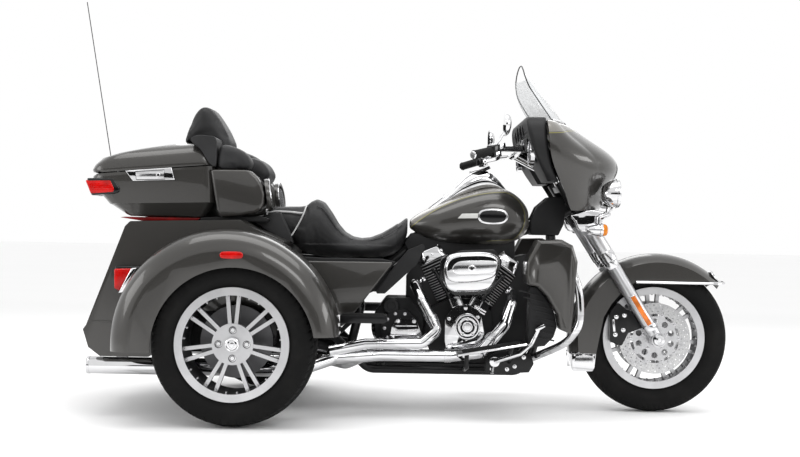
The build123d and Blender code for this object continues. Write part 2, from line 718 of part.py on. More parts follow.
with BuildPart() as top_case_base:
    slab(CASE_SIDE, -CASE_HALF, CASE_HALF)
    upright = top_case_base.edges().filter_by(Axis.Y).group_by(Axis.X)[0]
    fillet(upright, 12)
    with BuildSketch(Plane.XZ.offset(CASE_HALF - CASE_WALL)) as cavity:
        with BuildLine():
            Polyline(*CASE_SIDE, close=True)
        make_face()
        offset(amount=-CASE_WALL, kind=Kind.INTERSECTION)
    extrude(amount=-2 * (CASE_HALF - CASE_WALL), mode=Mode.SUBTRACT)
    slab(
        [
            (CASE_FRONT_X - 4, SEAM_FRONT_Z - CASE_WALL - 9),
            (CASE_FRONT_X - 4, SEAM_FRONT_Z + 5),
            (CASE_REAR_X + 6, SEAM_REAR_Z + 5),
            (CASE_REAR_X + 6, SEAM_REAR_Z - CASE_WALL - 9),
        ],
        CASE_WALL - CASE_HALF,
        CASE_HALF - CASE_WALL,
        mode=Mode.SUBTRACT,
    )
    for x in LID_HINGE_X:
        rod([(x - 26, LID_HINGE_Y, LID_HINGE_Z), (x + 26, LID_HINGE_Y, LID_HINGE_Z)], LID_PIN_R)
        for end in (-26, 16):
            knuckle = [(x + end, LID_HINGE_Y, LID_HINGE_Z), (x + end + 10, LID_HINGE_Y, LID_HINGE_Z)]
            rod(knuckle, LID_KNUCKLE_R)
            slab(
                [(x + end, 948), (x + end, LID_HINGE_Z), (x + end + 10, LID_HINGE_Z), (x + end + 10, 948)],
                CASE_HALF + 1,
                CASE_HALF + 6,
            )
            slab(
                [(x + end, 948), (x + end, 962), (x + end + 10, 962), (x + end + 10, 948)],
                CASE_HALF - 1,
                CASE_HALF + 3,
            )
top_case_base.part.label = "top_case_base"
export_step(top_case_base.part, "parts/top_case_base.step")

POD_SIDE = [
    (-735.6, 989),
    (-609, 989),
    (-548, 935),
    (-530, 876),
    (-540, 826),
    (-581, 804),
    (-700, 792),
    (-729.4, 842),
]
POD_INNER_Y, POD_OUTER_Y = 154, CASE_HALF + 8
with BuildPart() as speaker_pods:
    slab(POD_SIDE, POD_INNER_Y, POD_OUTER_Y, 12)
    mirror(about=Plane.XZ)
speaker_pods.part.label = "speaker_pods"
export_step(speaker_pods.part, "parts/speaker_pods.step")

SPEAKER_R = 67
SPEAKER_Y = POD_OUTER_Y - SPEAKER_R - 2
POD_FACE = Plane(origin=(-523, SPEAKER_Y, 888), x_dir=(0, 1, 0), z_dir=(0.98, -0.1, 0.15))
with BuildPart() as speakers:
    with BuildSketch(POD_FACE):
        Circle(SPEAKER_R)
    extrude(amount=16)
    fillet(speakers.edges().filter_by(GeomType.CIRCLE).sort_by(Axis.X)[-1], 6)
    mirror(about=Plane.XZ)
speakers.part.label = "speakers"
export_step(speakers.part, "parts/speakers.step")

LID_SIDE = [
    (CASE_FRONT_X, SEAM_FRONT_Z + SEAM),
    (CASE_FRONT_X - 24, 1082),
    (-853, 1103),
    (-952, 1094),
    (-1126, 1048),
    (-1212, 1016),
    (-1240, 980),
    (CASE_REAR_X, SEAM_REAR_Z + SEAM),
]
with BuildPart() as top_case_lid:
    slab(LID_SIDE, -CASE_HALF, CASE_HALF)
    fillet(top_case_lid.faces().sort_by(Axis.Y)[0].edges().sort_by(Axis.Z)[-5:], 26)
    fillet(top_case_lid.faces().sort_by(Axis.Y)[-1].edges().sort_by(Axis.Z)[-5:], 26)
    with BuildSketch(Plane.XZ.offset(CASE_HALF - CASE_WALL - 6)) as cavity:
        with BuildLine():
            Polyline(*LID_SIDE, close=True)
        make_face()
        offset(amount=-CASE_WALL - 5, kind=Kind.INTERSECTION)
    extrude(amount=-2 * (CASE_HALF - CASE_WALL - 6), mode=Mode.SUBTRACT)
    slab(
        [
            (CASE_FRONT_X - 14, SEAM_FRONT_Z + SEAM + 16),
            (CASE_FRONT_X - 14, SEAM_FRONT_Z - 5),
            (CASE_REAR_X + 8, SEAM_REAR_Z - 5),
            (CASE_REAR_X + 8, SEAM_REAR_Z + SEAM + 16),
        ],
        11 - CASE_HALF,
        CASE_HALF - 11,
        mode=Mode.SUBTRACT,
    )
    for x in LID_HINGE_X:
        rod([(x - 15, LID_HINGE_Y, LID_HINGE_Z), (x + 15, LID_HINGE_Y, LID_HINGE_Z)], LID_KNUCKLE_R)
        slab(
            [(x - 15, LID_HINGE_Z), (x - 15, 1030), (x + 15, 1030), (x + 15, LID_HINGE_Z)],
            CASE_HALF + 1,
            CASE_HALF + 6,
        )
        slab([(x - 15, 1004), (x - 15, 1030), (x + 15, 1030), (x + 15, 1004)], CASE_HALF - 1, CASE_HALF + 3)
        bore = [(x - 16, LID_HINGE_Y, LID_HINGE_Z), (x + 16, LID_HINGE_Y, LID_HINGE_Z)]
        rod(bore, LID_PIN_R + FIT, mode=Mode.SUBTRACT)
top_case_lid.part.label = "top_case_lid"
export_step(top_case_lid.part, "parts/top_case_lid.step")

# Chrome latch plate on the right of the lid and base
with BuildPart() as top_case_latch:
    slab([(-1100, 972), (-912, 988), (-898, 937), (-1068, 931)], -CASE_HALF - 8, -CASE_HALF - SEAT_GAP, 8)
top_case_latch.part.label = "top_case_latch"
export_step(top_case_latch.part, "parts/top_case_latch.step")

# Padded pieces: armrests, backrests and the two-up saddle
ARM_SIDE = [(-725, 989.4), (-603, 989.4), (-593, 1018), (-619, 1055), (-669, 1082), (-725, 1092)]
with BuildPart() as armrests:
    slab(ARM_SIDE, 175, CASE_HALF + 6, 12)
    mirror(about=Plane.XZ)
armrests.part.label = "armrests"
export_step(armrests.part, "parts/armrests.step")

LOWER_PAD = [
    (-729.9, 850),
    (-736, 992),
    (-700, 1040),
    (-609, 1047),
    (-565, 1035),
    (-529, 991),
    (-531, 962),
    (-600, 900),
    (-620, 850),
]
with BuildPart() as lower_backrest:
    slab(LOWER_PAD, -145, 145, 10)
lower_backrest.part.label = "lower_backrest"
export_step(lower_backrest.part, "parts/lower_backrest.step")

UPPER_PAD = [
    (-900, 1099.4),
    (-845, 1245),
    (-815, 1262),
    (-782, 1246),
    (-735, 1181),
    (-701, 1100),
    (-708, 1052),
    (-728, 1048),
    (-749.6, 1049),
    (-760.4, 1082.5),
    (-853, 1103.6),
]
with BuildPart() as backrest:
    slab(UPPER_PAD, -128, 128, 6)
backrest.part.label = "backrest"
export_step(backrest.part, "parts/backrest.step")

SEAT_HALF = 180
SEAT_SIDE = [
    (TRUNK_FRONT_X + 8, 697.2),
    (-558, 750.8),
    (-558, 826),
    (-514, 838),
    (-377, 845),
    (-366, 866),
    (-338, 872),
    (-309, 860),
    (-255, 777),
    (-196, 725),
    (-111, 721),
    (-12, 765),
    (64, 830),
    (70, 822),
    (46, 806),
    (44, 752),
    (36, 697),
    (26, 668),
    (-10, 640),
    (-89, 627),
    (-299, 627),
    (-420, 640),
]
with BuildPart() as seat:
    slab(SEAT_SIDE, -SEAT_HALF, SEAT_HALF)
    slab([(-120, 500), (-120, 660), (0, 790), (100, 790), (100, 500)], -40, 40, mode=Mode.SUBTRACT)
    for y in (POD_INNER_Y - 4, -SEAT_HALF - 1):
        slab([(-600, 700), (-518, 700), (-518, 900), (-600, 900)], y, y + 40, mode=Mode.SUBTRACT)
seat.part.label = "seat"
export_step(seat.part, "parts/seat.step")

# Painted side panels under the saddle and dark covers ahead of them
PANEL_SIDE = [(-439.6, 420), (-228, 404), (-166, 415), (-10, 622), (-439.6, 622)]
with BuildPart() as side_panels:
    slab(PANEL_SIDE, 205, 250, 6)
    mirror(about=Plane.XZ)
side_panels.part.label = "side_panels"
export_step(side_panels.part, "parts/side_panels.step")

COVER_SIDE = [(0, 616), (47, 672), (109, 699), (117, 684), (85, 615), (-44, 493), (-85, 492)]
with BuildPart() as side_covers:
    slab(COVER_SIDE, 185, 225, 6)
    slab([(-118, 500), (-118, 556), (-10, 590), (0, 545), (-60, 498)], 192, 205 - SEAT_GAP)
    mirror(about=Plane.XZ)
side_covers.part.label = "side_covers"
export_step(side_covers.part, "parts/side_covers.step")

# Fuel tank: stations along X with bottom, top, half width and corner radius
TANK_STATIONS = [
    (52, 757, 798, 58, 20),
    (150, 706, 848, 112, 52),
    (290, 694, 914, TANK_HALF, 80),
    (430, 694, 952, TANK_HALF, 98),
    (520, 716, 902, 128, 80),
    (562, 770, 840, 70, 30),
]
CONSOLE_HALF = 54
CONSOLE_BED = [(60, 786), (84, 800), (150, 840), (290, 905), (430, 943), (500, 905), (560, 850)]
with BuildPart() as fuel_tank:
    for x, low, high, half, corner in TANK_STATIONS:
        with BuildSketch(Plane.YZ.offset(x)):
            with Locations((0, (low + high) / 2)):
                RectangleRounded(2 * half, high - low, corner)
    loft()
    slab([(0, 640), (0, 745), (90, 775), (470, 790), (600, 820), (600, 640)], -36, 36, mode=Mode.SUBTRACT)
    slab(
        [(30, 1000), *CONSOLE_BED, (620, 1000)],
        -CONSOLE_HALF - SEAT_GAP,
        CONSOLE_HALF + SEAT_GAP,
        mode=Mode.SUBTRACT,
    )
fuel_tank.part.label = "fuel_tank"
export_step(fuel_tank.part, "parts/fuel_tank.step")

# Chrome console on the tank, with a filler lid hinged at its front
CONSOLE_SIDE = [
    (86, 803),
    (96, 818),
    (232, 932),
    (275, 978),
    (342, 1020),
    (394, 1014),
    (433, 975),
    (474, 922),
    (430, 944),
    (290, 906),
    (150, 841),
]
LID_SLOPE = Plane(origin=(96, 0, 818), x_dir=(136, 0, 114), z_dir=(-114, 0, 136))
FILLER_LENGTH, FILLER_HALF, FILLER_THICK = 86, 36, 5
FILLER_FROM = 46
FILLER_PIN_S = FILLER_FROM + FILLER_LENGTH + 5
FILLER_PIN_R, FILLER_KNUCKLE_R = 2, 4
FILLER_PIN = LID_SLOPE.from_local_coords((FILLER_PIN_S, 0, -1))
with BuildPart() as tank_console:
    slab(CONSOLE_SIDE, -CONSOLE_HALF, CONSOLE_HALF)
    with BuildSketch(LID_SLOPE.offset(-FILLER_THICK - SEAT_GAP)):
        with Locations((FILLER_FROM + (FILLER_LENGTH + 12) / 2 - 2, 0)):
            Rectangle(FILLER_LENGTH + 16, 2 * FILLER_HALF + 4)
    extrude(amount=30, mode=Mode.SUBTRACT)
    with BuildSketch(Plane.XZ.offset(FILLER_HALF + 6)):
        with Locations((FILLER_PIN.X, FILLER_PIN.Z)):
            Circle(FILLER_PIN_R)
    extrude(amount=-2 * FILLER_HALF - 12)
tank_console.part.label = "tank_console"
export_step(tank_console.part, "parts/tank_console.step")

with BuildPart() as fuel_door:
    with BuildSketch(LID_SLOPE.offset(-FILLER_THICK)):
        with Locations((FILLER_FROM + FILLER_LENGTH / 2, 0)):
            Rectangle(FILLER_LENGTH, 2 * FILLER_HALF)
        with Locations((FILLER_FROM + FILLER_LENGTH + 2, 0)):
            Rectangle(6, 20)
    extrude(amount=FILLER_THICK)
    disc(FILLER_PIN.X, -10, FILLER_PIN.Z, FILLER_KNUCKLE_R, 20)
    disc(FILLER_PIN.X, -11, FILLER_PIN.Z, FILLER_PIN_R + FIT, 22, Mode.SUBTRACT)
fuel_door.part.label = "fuel_door"
export_step(fuel_door.part, "parts/fuel_door.step")

# Fork: upper legs in clamps on a stem with two fairing stays, and sliders joined by the axle
UPPER_FROM, UPPER_TO = 385, 775
UPPER_R, SLIDER_R = 32, 28
CLAMP_THICK = 26
with BuildPart() as fork:
    for y in (-FORK_Y, FORK_Y):
        with BuildSketch(fork_plane(UPPER_FROM, y)):
            Circle(UPPER_R)
        extrude(amount=UPPER_TO - UPPER_FROM)
    with BuildSketch(HEAD.offset(-HEAD_LENGTH / 2 - CLAMP_THICK - 40)):
        Circle(STEM_R)
    extrude(amount=HEAD_LENGTH + 2 * CLAMP_THICK + 50)
    for low in (-HEAD_LENGTH / 2 - CLAMP_THICK - SEAT_GAP, HEAD_LENGTH / 2 + SEAT_GAP):
        with BuildSketch(HEAD.offset(low)):
            Circle(HEAD_R + 6)
            with Locations((CLAMP_SHIFT_LOW if low < 0 else CLAMP_SHIFT_HIGH, 0)):
                RectangleRounded(44, 2 * FORK_Y + 60, 20)
        extrude(amount=CLAMP_THICK)
    for y in (-82, 82):
        foot = HEAD.from_local_coords((CLAMP_SHIFT_HIGH, y, HEAD_LENGTH / 2 + CLAMP_THICK - 2))
        rod([foot, foot + Vector(STEER_UP) * 42, (622, y, 1052)], 8, 14)
fork.part.label = "fork"
export_step(fork.part, "parts/fork.step")

with BuildPart() as fork_sliders:
    for y in (-FORK_Y, FORK_Y):
        with BuildSketch(fork_plane(0, y)):
            Circle(SLIDER_R)
        extrude(amount=UPPER_FROM)
        disc(FRONT_AXLE_X, y - 30, AXLE_Z, 31, 60)
    disc(FRONT_AXLE_X, -FORK_Y, AXLE_Z, AXLE_R, 2 * FORK_Y)
fork_sliders.part.label = "fork_sliders"
export_step(fork_sliders.part, "parts/fork_sliders.step")

# Front calipers behind the sliders, gripping the discs
CALIPER_OUT_Y = FORK_Y - SLIDER_R - SEAT_GAP
with BuildPart() as front_calipers:
    slab(
        [(903, 300), (902, 425), (935, 466), (1000, 410), (978, 335), (952, 282)],
        -CALIPER_OUT_Y,
        -FRONT_DISC_Y - DISC_THICK - 3,
        10,
    )
    slab([(960, 330), (1042, 362), (1030, 420), (970, 436)], -CALIPER_OUT_Y, -CALIPER_OUT_Y + 12)
    slab([(916, 300), (922, 380), (962, 420), (985, 395), (970, 335), (950, 285)], -FRONT_DISC_Y + 3, -54, 6)
    slab([(920, 300), (924, 370), (938, 380), (943, 296)], -FRONT_DISC_Y - 12, -54, 2)
    mirror(about=Plane.XZ)
front_calipers.part.label = "front_calipers"
export_step(front_calipers.part, "parts/front_calipers.step")

# Front fender: a crowned arch round the tyre with a long skirt behind
GUARD_X, GUARD_Z, GUARD_R = FRONT_AXLE_X + 9, 301, 371
GUARD_HALF, GUARD_CROWN, GUARD_WALL = 88, 36, 5
GUARD_SIDE = [
    (FRONT_AXLE_X + 324, 552),
    (FRONT_AXLE_X - 88, 552),
    (FRONT_AXLE_X - 136, 520),
    (FRONT_AXLE_X - 188, 457),
    (FRONT_AXLE_X - 219, 403),
    (FRONT_AXLE_X - 234, 328),
    (FRONT_AXLE_X - 249, 247),
    (FRONT_AXLE_X - 258, 165),
    (FRONT_AXLE_X - 406, 150),
    (FRONT_AXLE_X - 406, 720),
    (FRONT_AXLE_X + 324, 720),
]
with BuildPart() as front_fender:
    with BuildSketch(Plane(origin=(GUARD_X, 0, GUARD_Z), x_dir=(0, 1, 0), z_dir=(1, 0, 0))) as section:
        with BuildLine():
            Line((-GUARD_HALF, 200), (-GUARD_HALF, GUARD_R - GUARD_CROWN))
            ThreePointArc(
                (-GUARD_HALF, GUARD_R - GUARD_CROWN),
                (0, GUARD_R),
                (GUARD_HALF, GUARD_R - GUARD_CROWN),
            )
            Line((GUARD_HALF, GUARD_R - GUARD_CROWN), (GUARD_HALF, 200))
            Line((GUARD_HALF, 200), (GUARD_HALF - GUARD_WALL, 200))
            Line((GUARD_HALF - GUARD_WALL, 200), (GUARD_HALF - GUARD_WALL, GUARD_R - GUARD_CROWN - 3))
            ThreePointArc(
                (GUARD_HALF - GUARD_WALL, GUARD_R - GUARD_CROWN - 3),
                (0, GUARD_R - GUARD_WALL),
                (GUARD_WALL - GUARD_HALF, GUARD_R - GUARD_CROWN - 3),
            )
            Line((GUARD_WALL - GUARD_HALF, GUARD_R - GUARD_CROWN - 3), (GUARD_WALL - GUARD_HALF, 200))
            Line((GUARD_WALL - GUARD_HALF, 200), (-GUARD_HALF, 200))
        make_face()
    revolve(axis=Axis((GUARD_X, 0, GUARD_Z), (0, 1, 0)))
    slab(GUARD_SIDE, -GUARD_HALF - 1, GUARD_HALF + 1, mode=Mode.INTERSECT)
    for distance in (262, 318):
        lug = fork_plane(distance).origin
        disc(lug.X, GUARD_HALF - 2, lug.Z, 11, FORK_Y - SLIDER_R - SEAT_GAP - GUARD_HALF + 2)
        disc(lug.X, SLIDER_R + SEAT_GAP - FORK_Y, lug.Z, 11, FORK_Y - SLIDER_R - SEAT_GAP - GUARD_HALF + 2)
front_fender.part.label = "front_fender"
export_step(front_fender.part, "parts/front_fender.step")

CLAMP_TOP = HEAD_LENGTH / 2 + CLAMP_THICK + 2 * SEAT_GAP
# Bars: riser, bent bar, grips, switch boxes and levers
with BuildPart() as handlebar:
    rod(
        [
            (300, -425, 1054),
            (412, -330, 1086),
            (500, -215, 1092),
            (497, -95, 1080),
            (497, 95, 1080),
            (500, 215, 1092),
            (412, 330, 1086),
            (300, 425, 1054),
        ],
        12.5,
        30,
    )
    for y in (-45, 45):
        foot = HEAD.from_local_coords((CLAMP_SHIFT_HIGH, y, CLAMP_TOP))
        rod([foot, foot + Vector(STEER_UP) * 34, (497, y, 1080)], 15, 20)
handlebar.part.label = "handlebar"
export_step(handlebar.part, "parts/handlebar.step")

GRIP_START, GRIP_END = Vector(296, -428.4, 1052.9), Vector(367.2, -368, 1073.2)
with BuildPart() as hand_controls:
    with BuildSketch(Plane(origin=GRIP_START, z_dir=GRIP_END - GRIP_START)):
        Circle(17)
    extrude(amount=(GRIP_END - GRIP_START).length)
    with BuildSketch(Plane(origin=GRIP_END, z_dir=GRIP_END - GRIP_START)):
        RectangleRounded(46, 44, 8)
    extrude(amount=32)
    rod([(380, -352, 1062), (405, -372, 1046), (338, -448, 1026)], 6, 14)
    with BuildSketch(Plane(origin=GRIP_START, z_dir=GRIP_END - GRIP_START)):
        Circle(12.5 + FIT)
    extrude(amount=260, mode=Mode.SUBTRACT)
    mirror(about=Plane.XZ)
hand_controls.part.label = "hand_controls"
export_step(hand_controls.part, "parts/hand_controls.step")

# Fairing: plan stations up its height, with nose, rear edge, half width and the
# shoulder's share of the depth
FAIRING_STATIONS = [
    (846, 840, 712, 225, 0.62),
    (900, 878, 686, 262, 0.62),
    (960, 905, 655, 310, 0.62),
    (1030, 934, 620, 350, 0.62),
    (1110, 866, 602, 366, 0.54),
    (1190, 742, 596, 344, 0.42),
    (1207, 706, 598, 312, 0.36),
]
FAIRING_SHELL = 6
HEADLAMP_Z, HEADLAMP_R = 938, 90
HEADLAMP_FACE_X, HEADLAMP_BACK_X = 918, 800


def fairing_body(inset):
    """Solid fairing form through its plan stations, or its hollow where inset is over 0."""
    last = len(FAIRING_STATIONS) - 1
    with BuildPart() as body:
        for index, (z, nose, rear, half, share) in enumerate(FAIRING_STATIONS):
            rise = -inset * ((index == 0) + (index == last))
            side = half - inset
            front = nose - inset
            back = rear - 3 * inset
            shoulder = rear + (front - rear) * share
            bulge = back + (shoulder - back) * 0.55
            with BuildSketch(Plane.XY.offset(z + rise)):
                with BuildLine():
                    Line((back, side), (back, -side))
                    ThreePointArc((back, -side), (bulge, -side * 0.93), (shoulder, -side * 0.74))
                    ThreePointArc((shoulder, -side * 0.74), (front, 0), (shoulder, side * 0.74))
                    ThreePointArc((shoulder, side * 0.74), (bulge, side * 0.93), (back, side))
                make_face()
        loft()
    return body.part


fairing_outer = fairing_body(0)
fairing_hollow = fairing_body(FAIRING_SHELL)
with BuildPart() as fairing:
    add(fairing_outer)
    add(fairing_hollow, mode=Mode.SUBTRACT)
    with BuildSketch(Plane.YZ.offset(HEADLAMP_BACK_X - 20)):
        with Locations((0, HEADLAMP_Z)):
            Circle(HEADLAMP_R + SEAT_GAP)
    extrude(amount=200, mode=Mode.SUBTRACT)
fairing.part.label = "fairing"
export_step(fairing.part, "parts/fairing.step")

# Inner fairing with its gauge and speaker recesses, behind the outer shell
DASH_STATIONS = [
    (962, 606, 652, 288),
    (1030, 566, 617, 338),
    (1110, 532, 599, 352),
    (1190, 514, 594, 330),
    (1220, 524, 598, 250),
]
with BuildPart() as inner_fairing:
    for z, rear, front, half in DASH_STATIONS:
        with BuildSketch(Plane.XY.offset(z)):
            with Locations(((rear + front) / 2 - SEAT_GAP, 0)):
                RectangleRounded(front - rear - 2 * SEAT_GAP, 2 * half, 18)
    loft()
    slab([(480, 940), (480, 1096), (700, 1096), (700, 940)], -70, 70, mode=Mode.SUBTRACT)
    for y, z, radius in (
        (-58, 1160, 44),
        (58, 1160, 44),
        (-152, 1165, 30),
        (152, 1165, 30),
        (-245, 1080, 58),
        (245, 1080, 58),
    ):
        with BuildSketch(Plane.YZ.offset(480)):
            with Locations((y, z)):
                Circle(radius)
        extrude(amount=64, mode=Mode.SUBTRACT)
inner_fairing.part.label = "inner_fairing"
export_step(inner_fairing.part, "parts/inner_fairing.step")

# Windshield: a thin bent sheet that leans back, with a rounded top
GLASS_THICK = 4
GLASS_R = 430
GLASS_HALF = 250
GLASS_FOOT = (706, FAIRING_STATIONS[-1][0] + 0.5)
GLASS_LEAN = (-209, 0, 275)
GLASS_TOP_Z = 1460
with BuildPart() as windshield:
    with BuildSketch(Plane.XY.offset(GLASS_FOOT[1])):
        with Locations((GLASS_FOOT[0] - GLASS_R, 0)):
            Circle(GLASS_R)
            Circle(GLASS_R - GLASS_THICK, mode=Mode.SUBTRACT)
            with Locations((-300, 0)):
                Rectangle(1000, 1000, mode=Mode.SUBTRACT)
    extrude(amount=GLASS_TOP_Z + 4 - GLASS_FOOT[1], dir=GLASS_LEAN)
    with BuildSketch(Plane.YZ.offset(300)):
        with BuildLine():
            Line((-GLASS_HALF, GLASS_FOOT[1]), (GLASS_HALF, GLASS_FOOT[1]))
            ThreePointArc((GLASS_HALF, GLASS_FOOT[1]), (GLASS_HALF * 0.93, 1345), (GLASS_HALF * 0.6, 1425))
            ThreePointArc((GLASS_HALF * 0.6, 1425), (0, GLASS_TOP_Z), (-GLASS_HALF * 0.6, 1425))
            ThreePointArc(
                (-GLASS_HALF * 0.6, 1425),
                (-GLASS_HALF * 0.93, 1345),
                (-GLASS_HALF, GLASS_FOOT[1]),
            )
        make_face()
    extrude(amount=600, mode=Mode.INTERSECT)
windshield.part.label = "windshield"
export_step(windshield.part, "parts/windshield.step")


def lamp(x_back, x_face, y, z, radius, rear_radius):
    """Round lamp body with a domed back, turned round a line along X, in the open part."""
    ring = min(14, radius / 3)
    with BuildSketch(Plane(origin=(0, y, z), x_dir=(1, 0, 0), z_dir=(0, -1, 0))) as section:
        with BuildLine():
            Polyline((x_back, 0), (x_back, rear_radius))
            ThreePointArc(
                (x_back, rear_radius),
                (x_back + (x_face - ring - x_back) * 0.42, rear_radius + (radius - 3 - rear_radius) * 0.74),
                (x_face - ring, radius - 3),
            )
            Polyline(
                (x_face - ring, radius - 3),
                (x_face - ring, radius),
                (x_face - 2, radius),
                (x_face, radius - 4),
                (x_face + 2, radius * 0.5),
                (x_face + 3, 0),
                (x_back, 0),
            )
        make_face()
    revolve(section.sketch, axis=Axis((0, y, z), (1, 0, 0)))


with BuildPart() as headlamp:
    lamp(HEADLAMP_BACK_X, HEADLAMP_FACE_X, 0, HEADLAMP_Z, HEADLAMP_R, 40)
headlamp.part.label = "headlamp"
export_step(headlamp.part, "parts/headlamp.step")

# Lamp bar with a passing lamp above and a turn signal below each end
LAMP_Y = 206
PASSING_Z, PASSING_R = 918, 60
SIGNAL_Z, SIGNAL_R = 768, 29
with BuildPart() as passing_lamps:
    for y in (-LAMP_Y, LAMP_Y):
        lamp(838, 909, y, PASSING_Z, PASSING_R, 26)
passing_lamps.part.label = "passing_lamps"
export_step(passing_lamps.part, "parts/passing_lamps.step")

with BuildPart() as turn_signals:
    for y in (-LAMP_Y, LAMP_Y):
        lamp(779, 860, y, SIGNAL_Z, SIGNAL_R, 14)
turn_signals.part.label = "turn_signals"
export_step(turn_signals.part, "parts/turn_signals.step")

with BuildPart() as lamp_bar:
    rod([(864, -LAMP_Y, 834), (850, -120, 828), (850, 120, 828), (864, LAMP_Y, 834)], 13, 60)
    for y in (-LAMP_Y, LAMP_Y):
        rod([(864, y, 834), (868, y, 863.3)], 9)
        rod([(864, y, 834), (828, y, 822), (828, y, 794.3)], 9, 8)
    for y in (-60, 60):
        rod([(850, y, 828), (829, y, 815)], 8)
lamp_bar.part.label = "lamp_bar"
export_step(lamp_bar.part, "parts/lamp_bar.step")

with BuildPart() as mirrors:
    with BuildSketch(Plane.YZ.offset(418)):
        with Locations((-415, 1176)):
            Ellipse(74, 45)
    with BuildSketch(Plane.YZ.offset(440)):
        with Locations((-415, 1178)):
            Ellipse(58, 32)
    loft()
    rod([(386, -354, 1106), (402, -362, 1124), (430, -392, 1160)], 6, 10)
    mirror(about=Plane.XZ)
mirrors.part.label = "mirrors"
export_step(mirrors.part, "parts/mirrors.step")

# Chrome engine guard and the painted lowers on it, with a radiator behind each
GUARD_ROUTE = [
    (572, -RAIL_Y - RAIL_R - 6, 236),
    (610, -230, 262),
    (706, -372, 338),
    (734, -384, 410),
    (724, -378, 520),
    (690, -350, 625),
    (672, -290, 664),
    (668, -75, 668),
]
GUARD_TUBE_R = 16
LOWER_IN_Y, LOWER_OUT_Y = 252, 398
with BuildPart() as engine_guard:
    rod(GUARD_ROUTE, GUARD_TUBE_R, 30)
    mirror(about=Plane.XZ)
engine_guard.part.label = "engine_guard"
export_step(engine_guard.part, "parts/engine_guard.step")

LOWER_SIDE = [
    (561, 724),
    (654, 727),
    (698, 704),
    (718, 640),
    (713, 574),
    (704, 422),
    (697, 352),
    (650, 372),
    (640, 430),
    (599, 500),
    (563, 538),
    (523, 546),
    (514, 580),
    (517, 636),
]
with BuildPart() as fairing_lowers:
    slab(LOWER_SIDE, -LOWER_OUT_Y, -LOWER_IN_Y, 6)
    fillet(fairing_lowers.faces().sort_by(Axis.Y)[0].edges(), 16)
    rod(GUARD_ROUTE, GUARD_TUBE_R + 0.5, 30, mode=Mode.SUBTRACT)
    mirror(about=Plane.XZ)
fairing_lowers.part.label = "fairing_lowers"
export_step(fairing_lowers.part, "parts/fairing_lowers.step")

RADIATOR_SIDE = [
    (531, 290),
    (600, 300),
    (634, 335),
    (647, 376),
    (637, 430),
    (596, 498),
    (561, 536),
    (538, 538),
]
with BuildPart() as radiators:
    slab(RADIATOR_SIDE, -LOWER_IN_Y - 80, -LOWER_IN_Y + 20, 8)
    mirror(about=Plane.XZ)
radiators.part.label = "radiators"
export_step(radiators.part, "parts/radiators.step")

# Floorboards and the brake pedal
with BuildPart() as floorboards:
    slab([(247, 258), (247, 270), (520, 318), (524, 306)], -400, -292)
    rod([(470, -310, 296), (470, -230, 235), (470, -RAIL_Y - RAIL_R - SEAT_GAP, 180)], 9, 20)
    rod([(290, -310, 262), (290, -306, 205), (290, -RAIL_Y - RAIL_R - SEAT_GAP, 178)], 9, 20)
    slab([(-218, 384), (-218, 414), (-36, 416), (-30, 394), (-44, 384)], -402, -300)
    rod([(-165, -320, 395), (-225, -262, 335), (-260, -215, 317.5), (-260, -178.7, 317.5)], 9, 12)
    mirror(about=Plane.XZ)
floorboards.part.label = "floorboards"
export_step(floorboards.part, "parts/floorboards.step")

with BuildPart() as brake_pedal:
    disc(403, -306, 230, 20, 14)
    rod([(403, -300, 230), (500, -345, 268), (545, -345, 308), (575, -345, 372)], 8, 16)
    slab([(560, 360), (554, 371), (588, 392), (594, 381)], -385, -338)
    rod([(403, -294, 230), (403, -190, 176), (403, -RAIL_Y - RAIL_R - SEAT_GAP, RAIL_Z)], 9, 20)
brake_pedal.part.label = "brake_pedal"
export_step(brake_pedal.part, "parts/brake_pedal.step")

# Whip antenna on the back of the top case
ANTENNA_Y = 250
ANTENNA_TIP_X = -FRONT_AXLE_X - TYRE_R
with BuildPart() as antenna:
    rod([(-1247.5, ANTENNA_Y, 952), (-1272, ANTENNA_Y, 954), (-1281, ANTENNA_Y, 1004)], 9, 8)
    rod([(-1281, ANTENNA_Y, 1004), (ANTENNA_TIP_X + 2, ANTENNA_Y, 1752)], 2)
antenna.part.label = "antenna"
export_step(antenna.part, "parts/antenna.step")

# Number plate holder under the trunk door
PLATE_X = -1222
PLATE_PITCH_Y, PLATE_PITCH_Z, PLATE_HOLE_R = 146, 70, 3.4
with BuildPart() as plate_holder:
    with BuildSketch(Plane.YZ.offset(PLATE_X - SEAT_GAP)):
        with Locations((0, 298)):
            RectangleRounded(190, 104, 8)
            with GridLocations(PLATE_PITCH_Y, PLATE_PITCH_Z, 2, 2):
                Circle(PLATE_HOLE_R, mode=Mode.SUBTRACT)
    extrude(amount=-3)
plate_holder.part.label = "plate_holder"
export_step(plate_holder.part, "parts/plate_holder.step")
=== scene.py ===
"""Touring motorcycle with two rear wheels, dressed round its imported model.

Laid out as an add-on: settings, one operator for each group of pieces, and a panel.
Metres, X forward, Y to the rider's left, Z up.
"""
from math import atan2, cos, hypot, pi, radians, sin

import bmesh
import bpy
from mathutils import Matrix, Vector


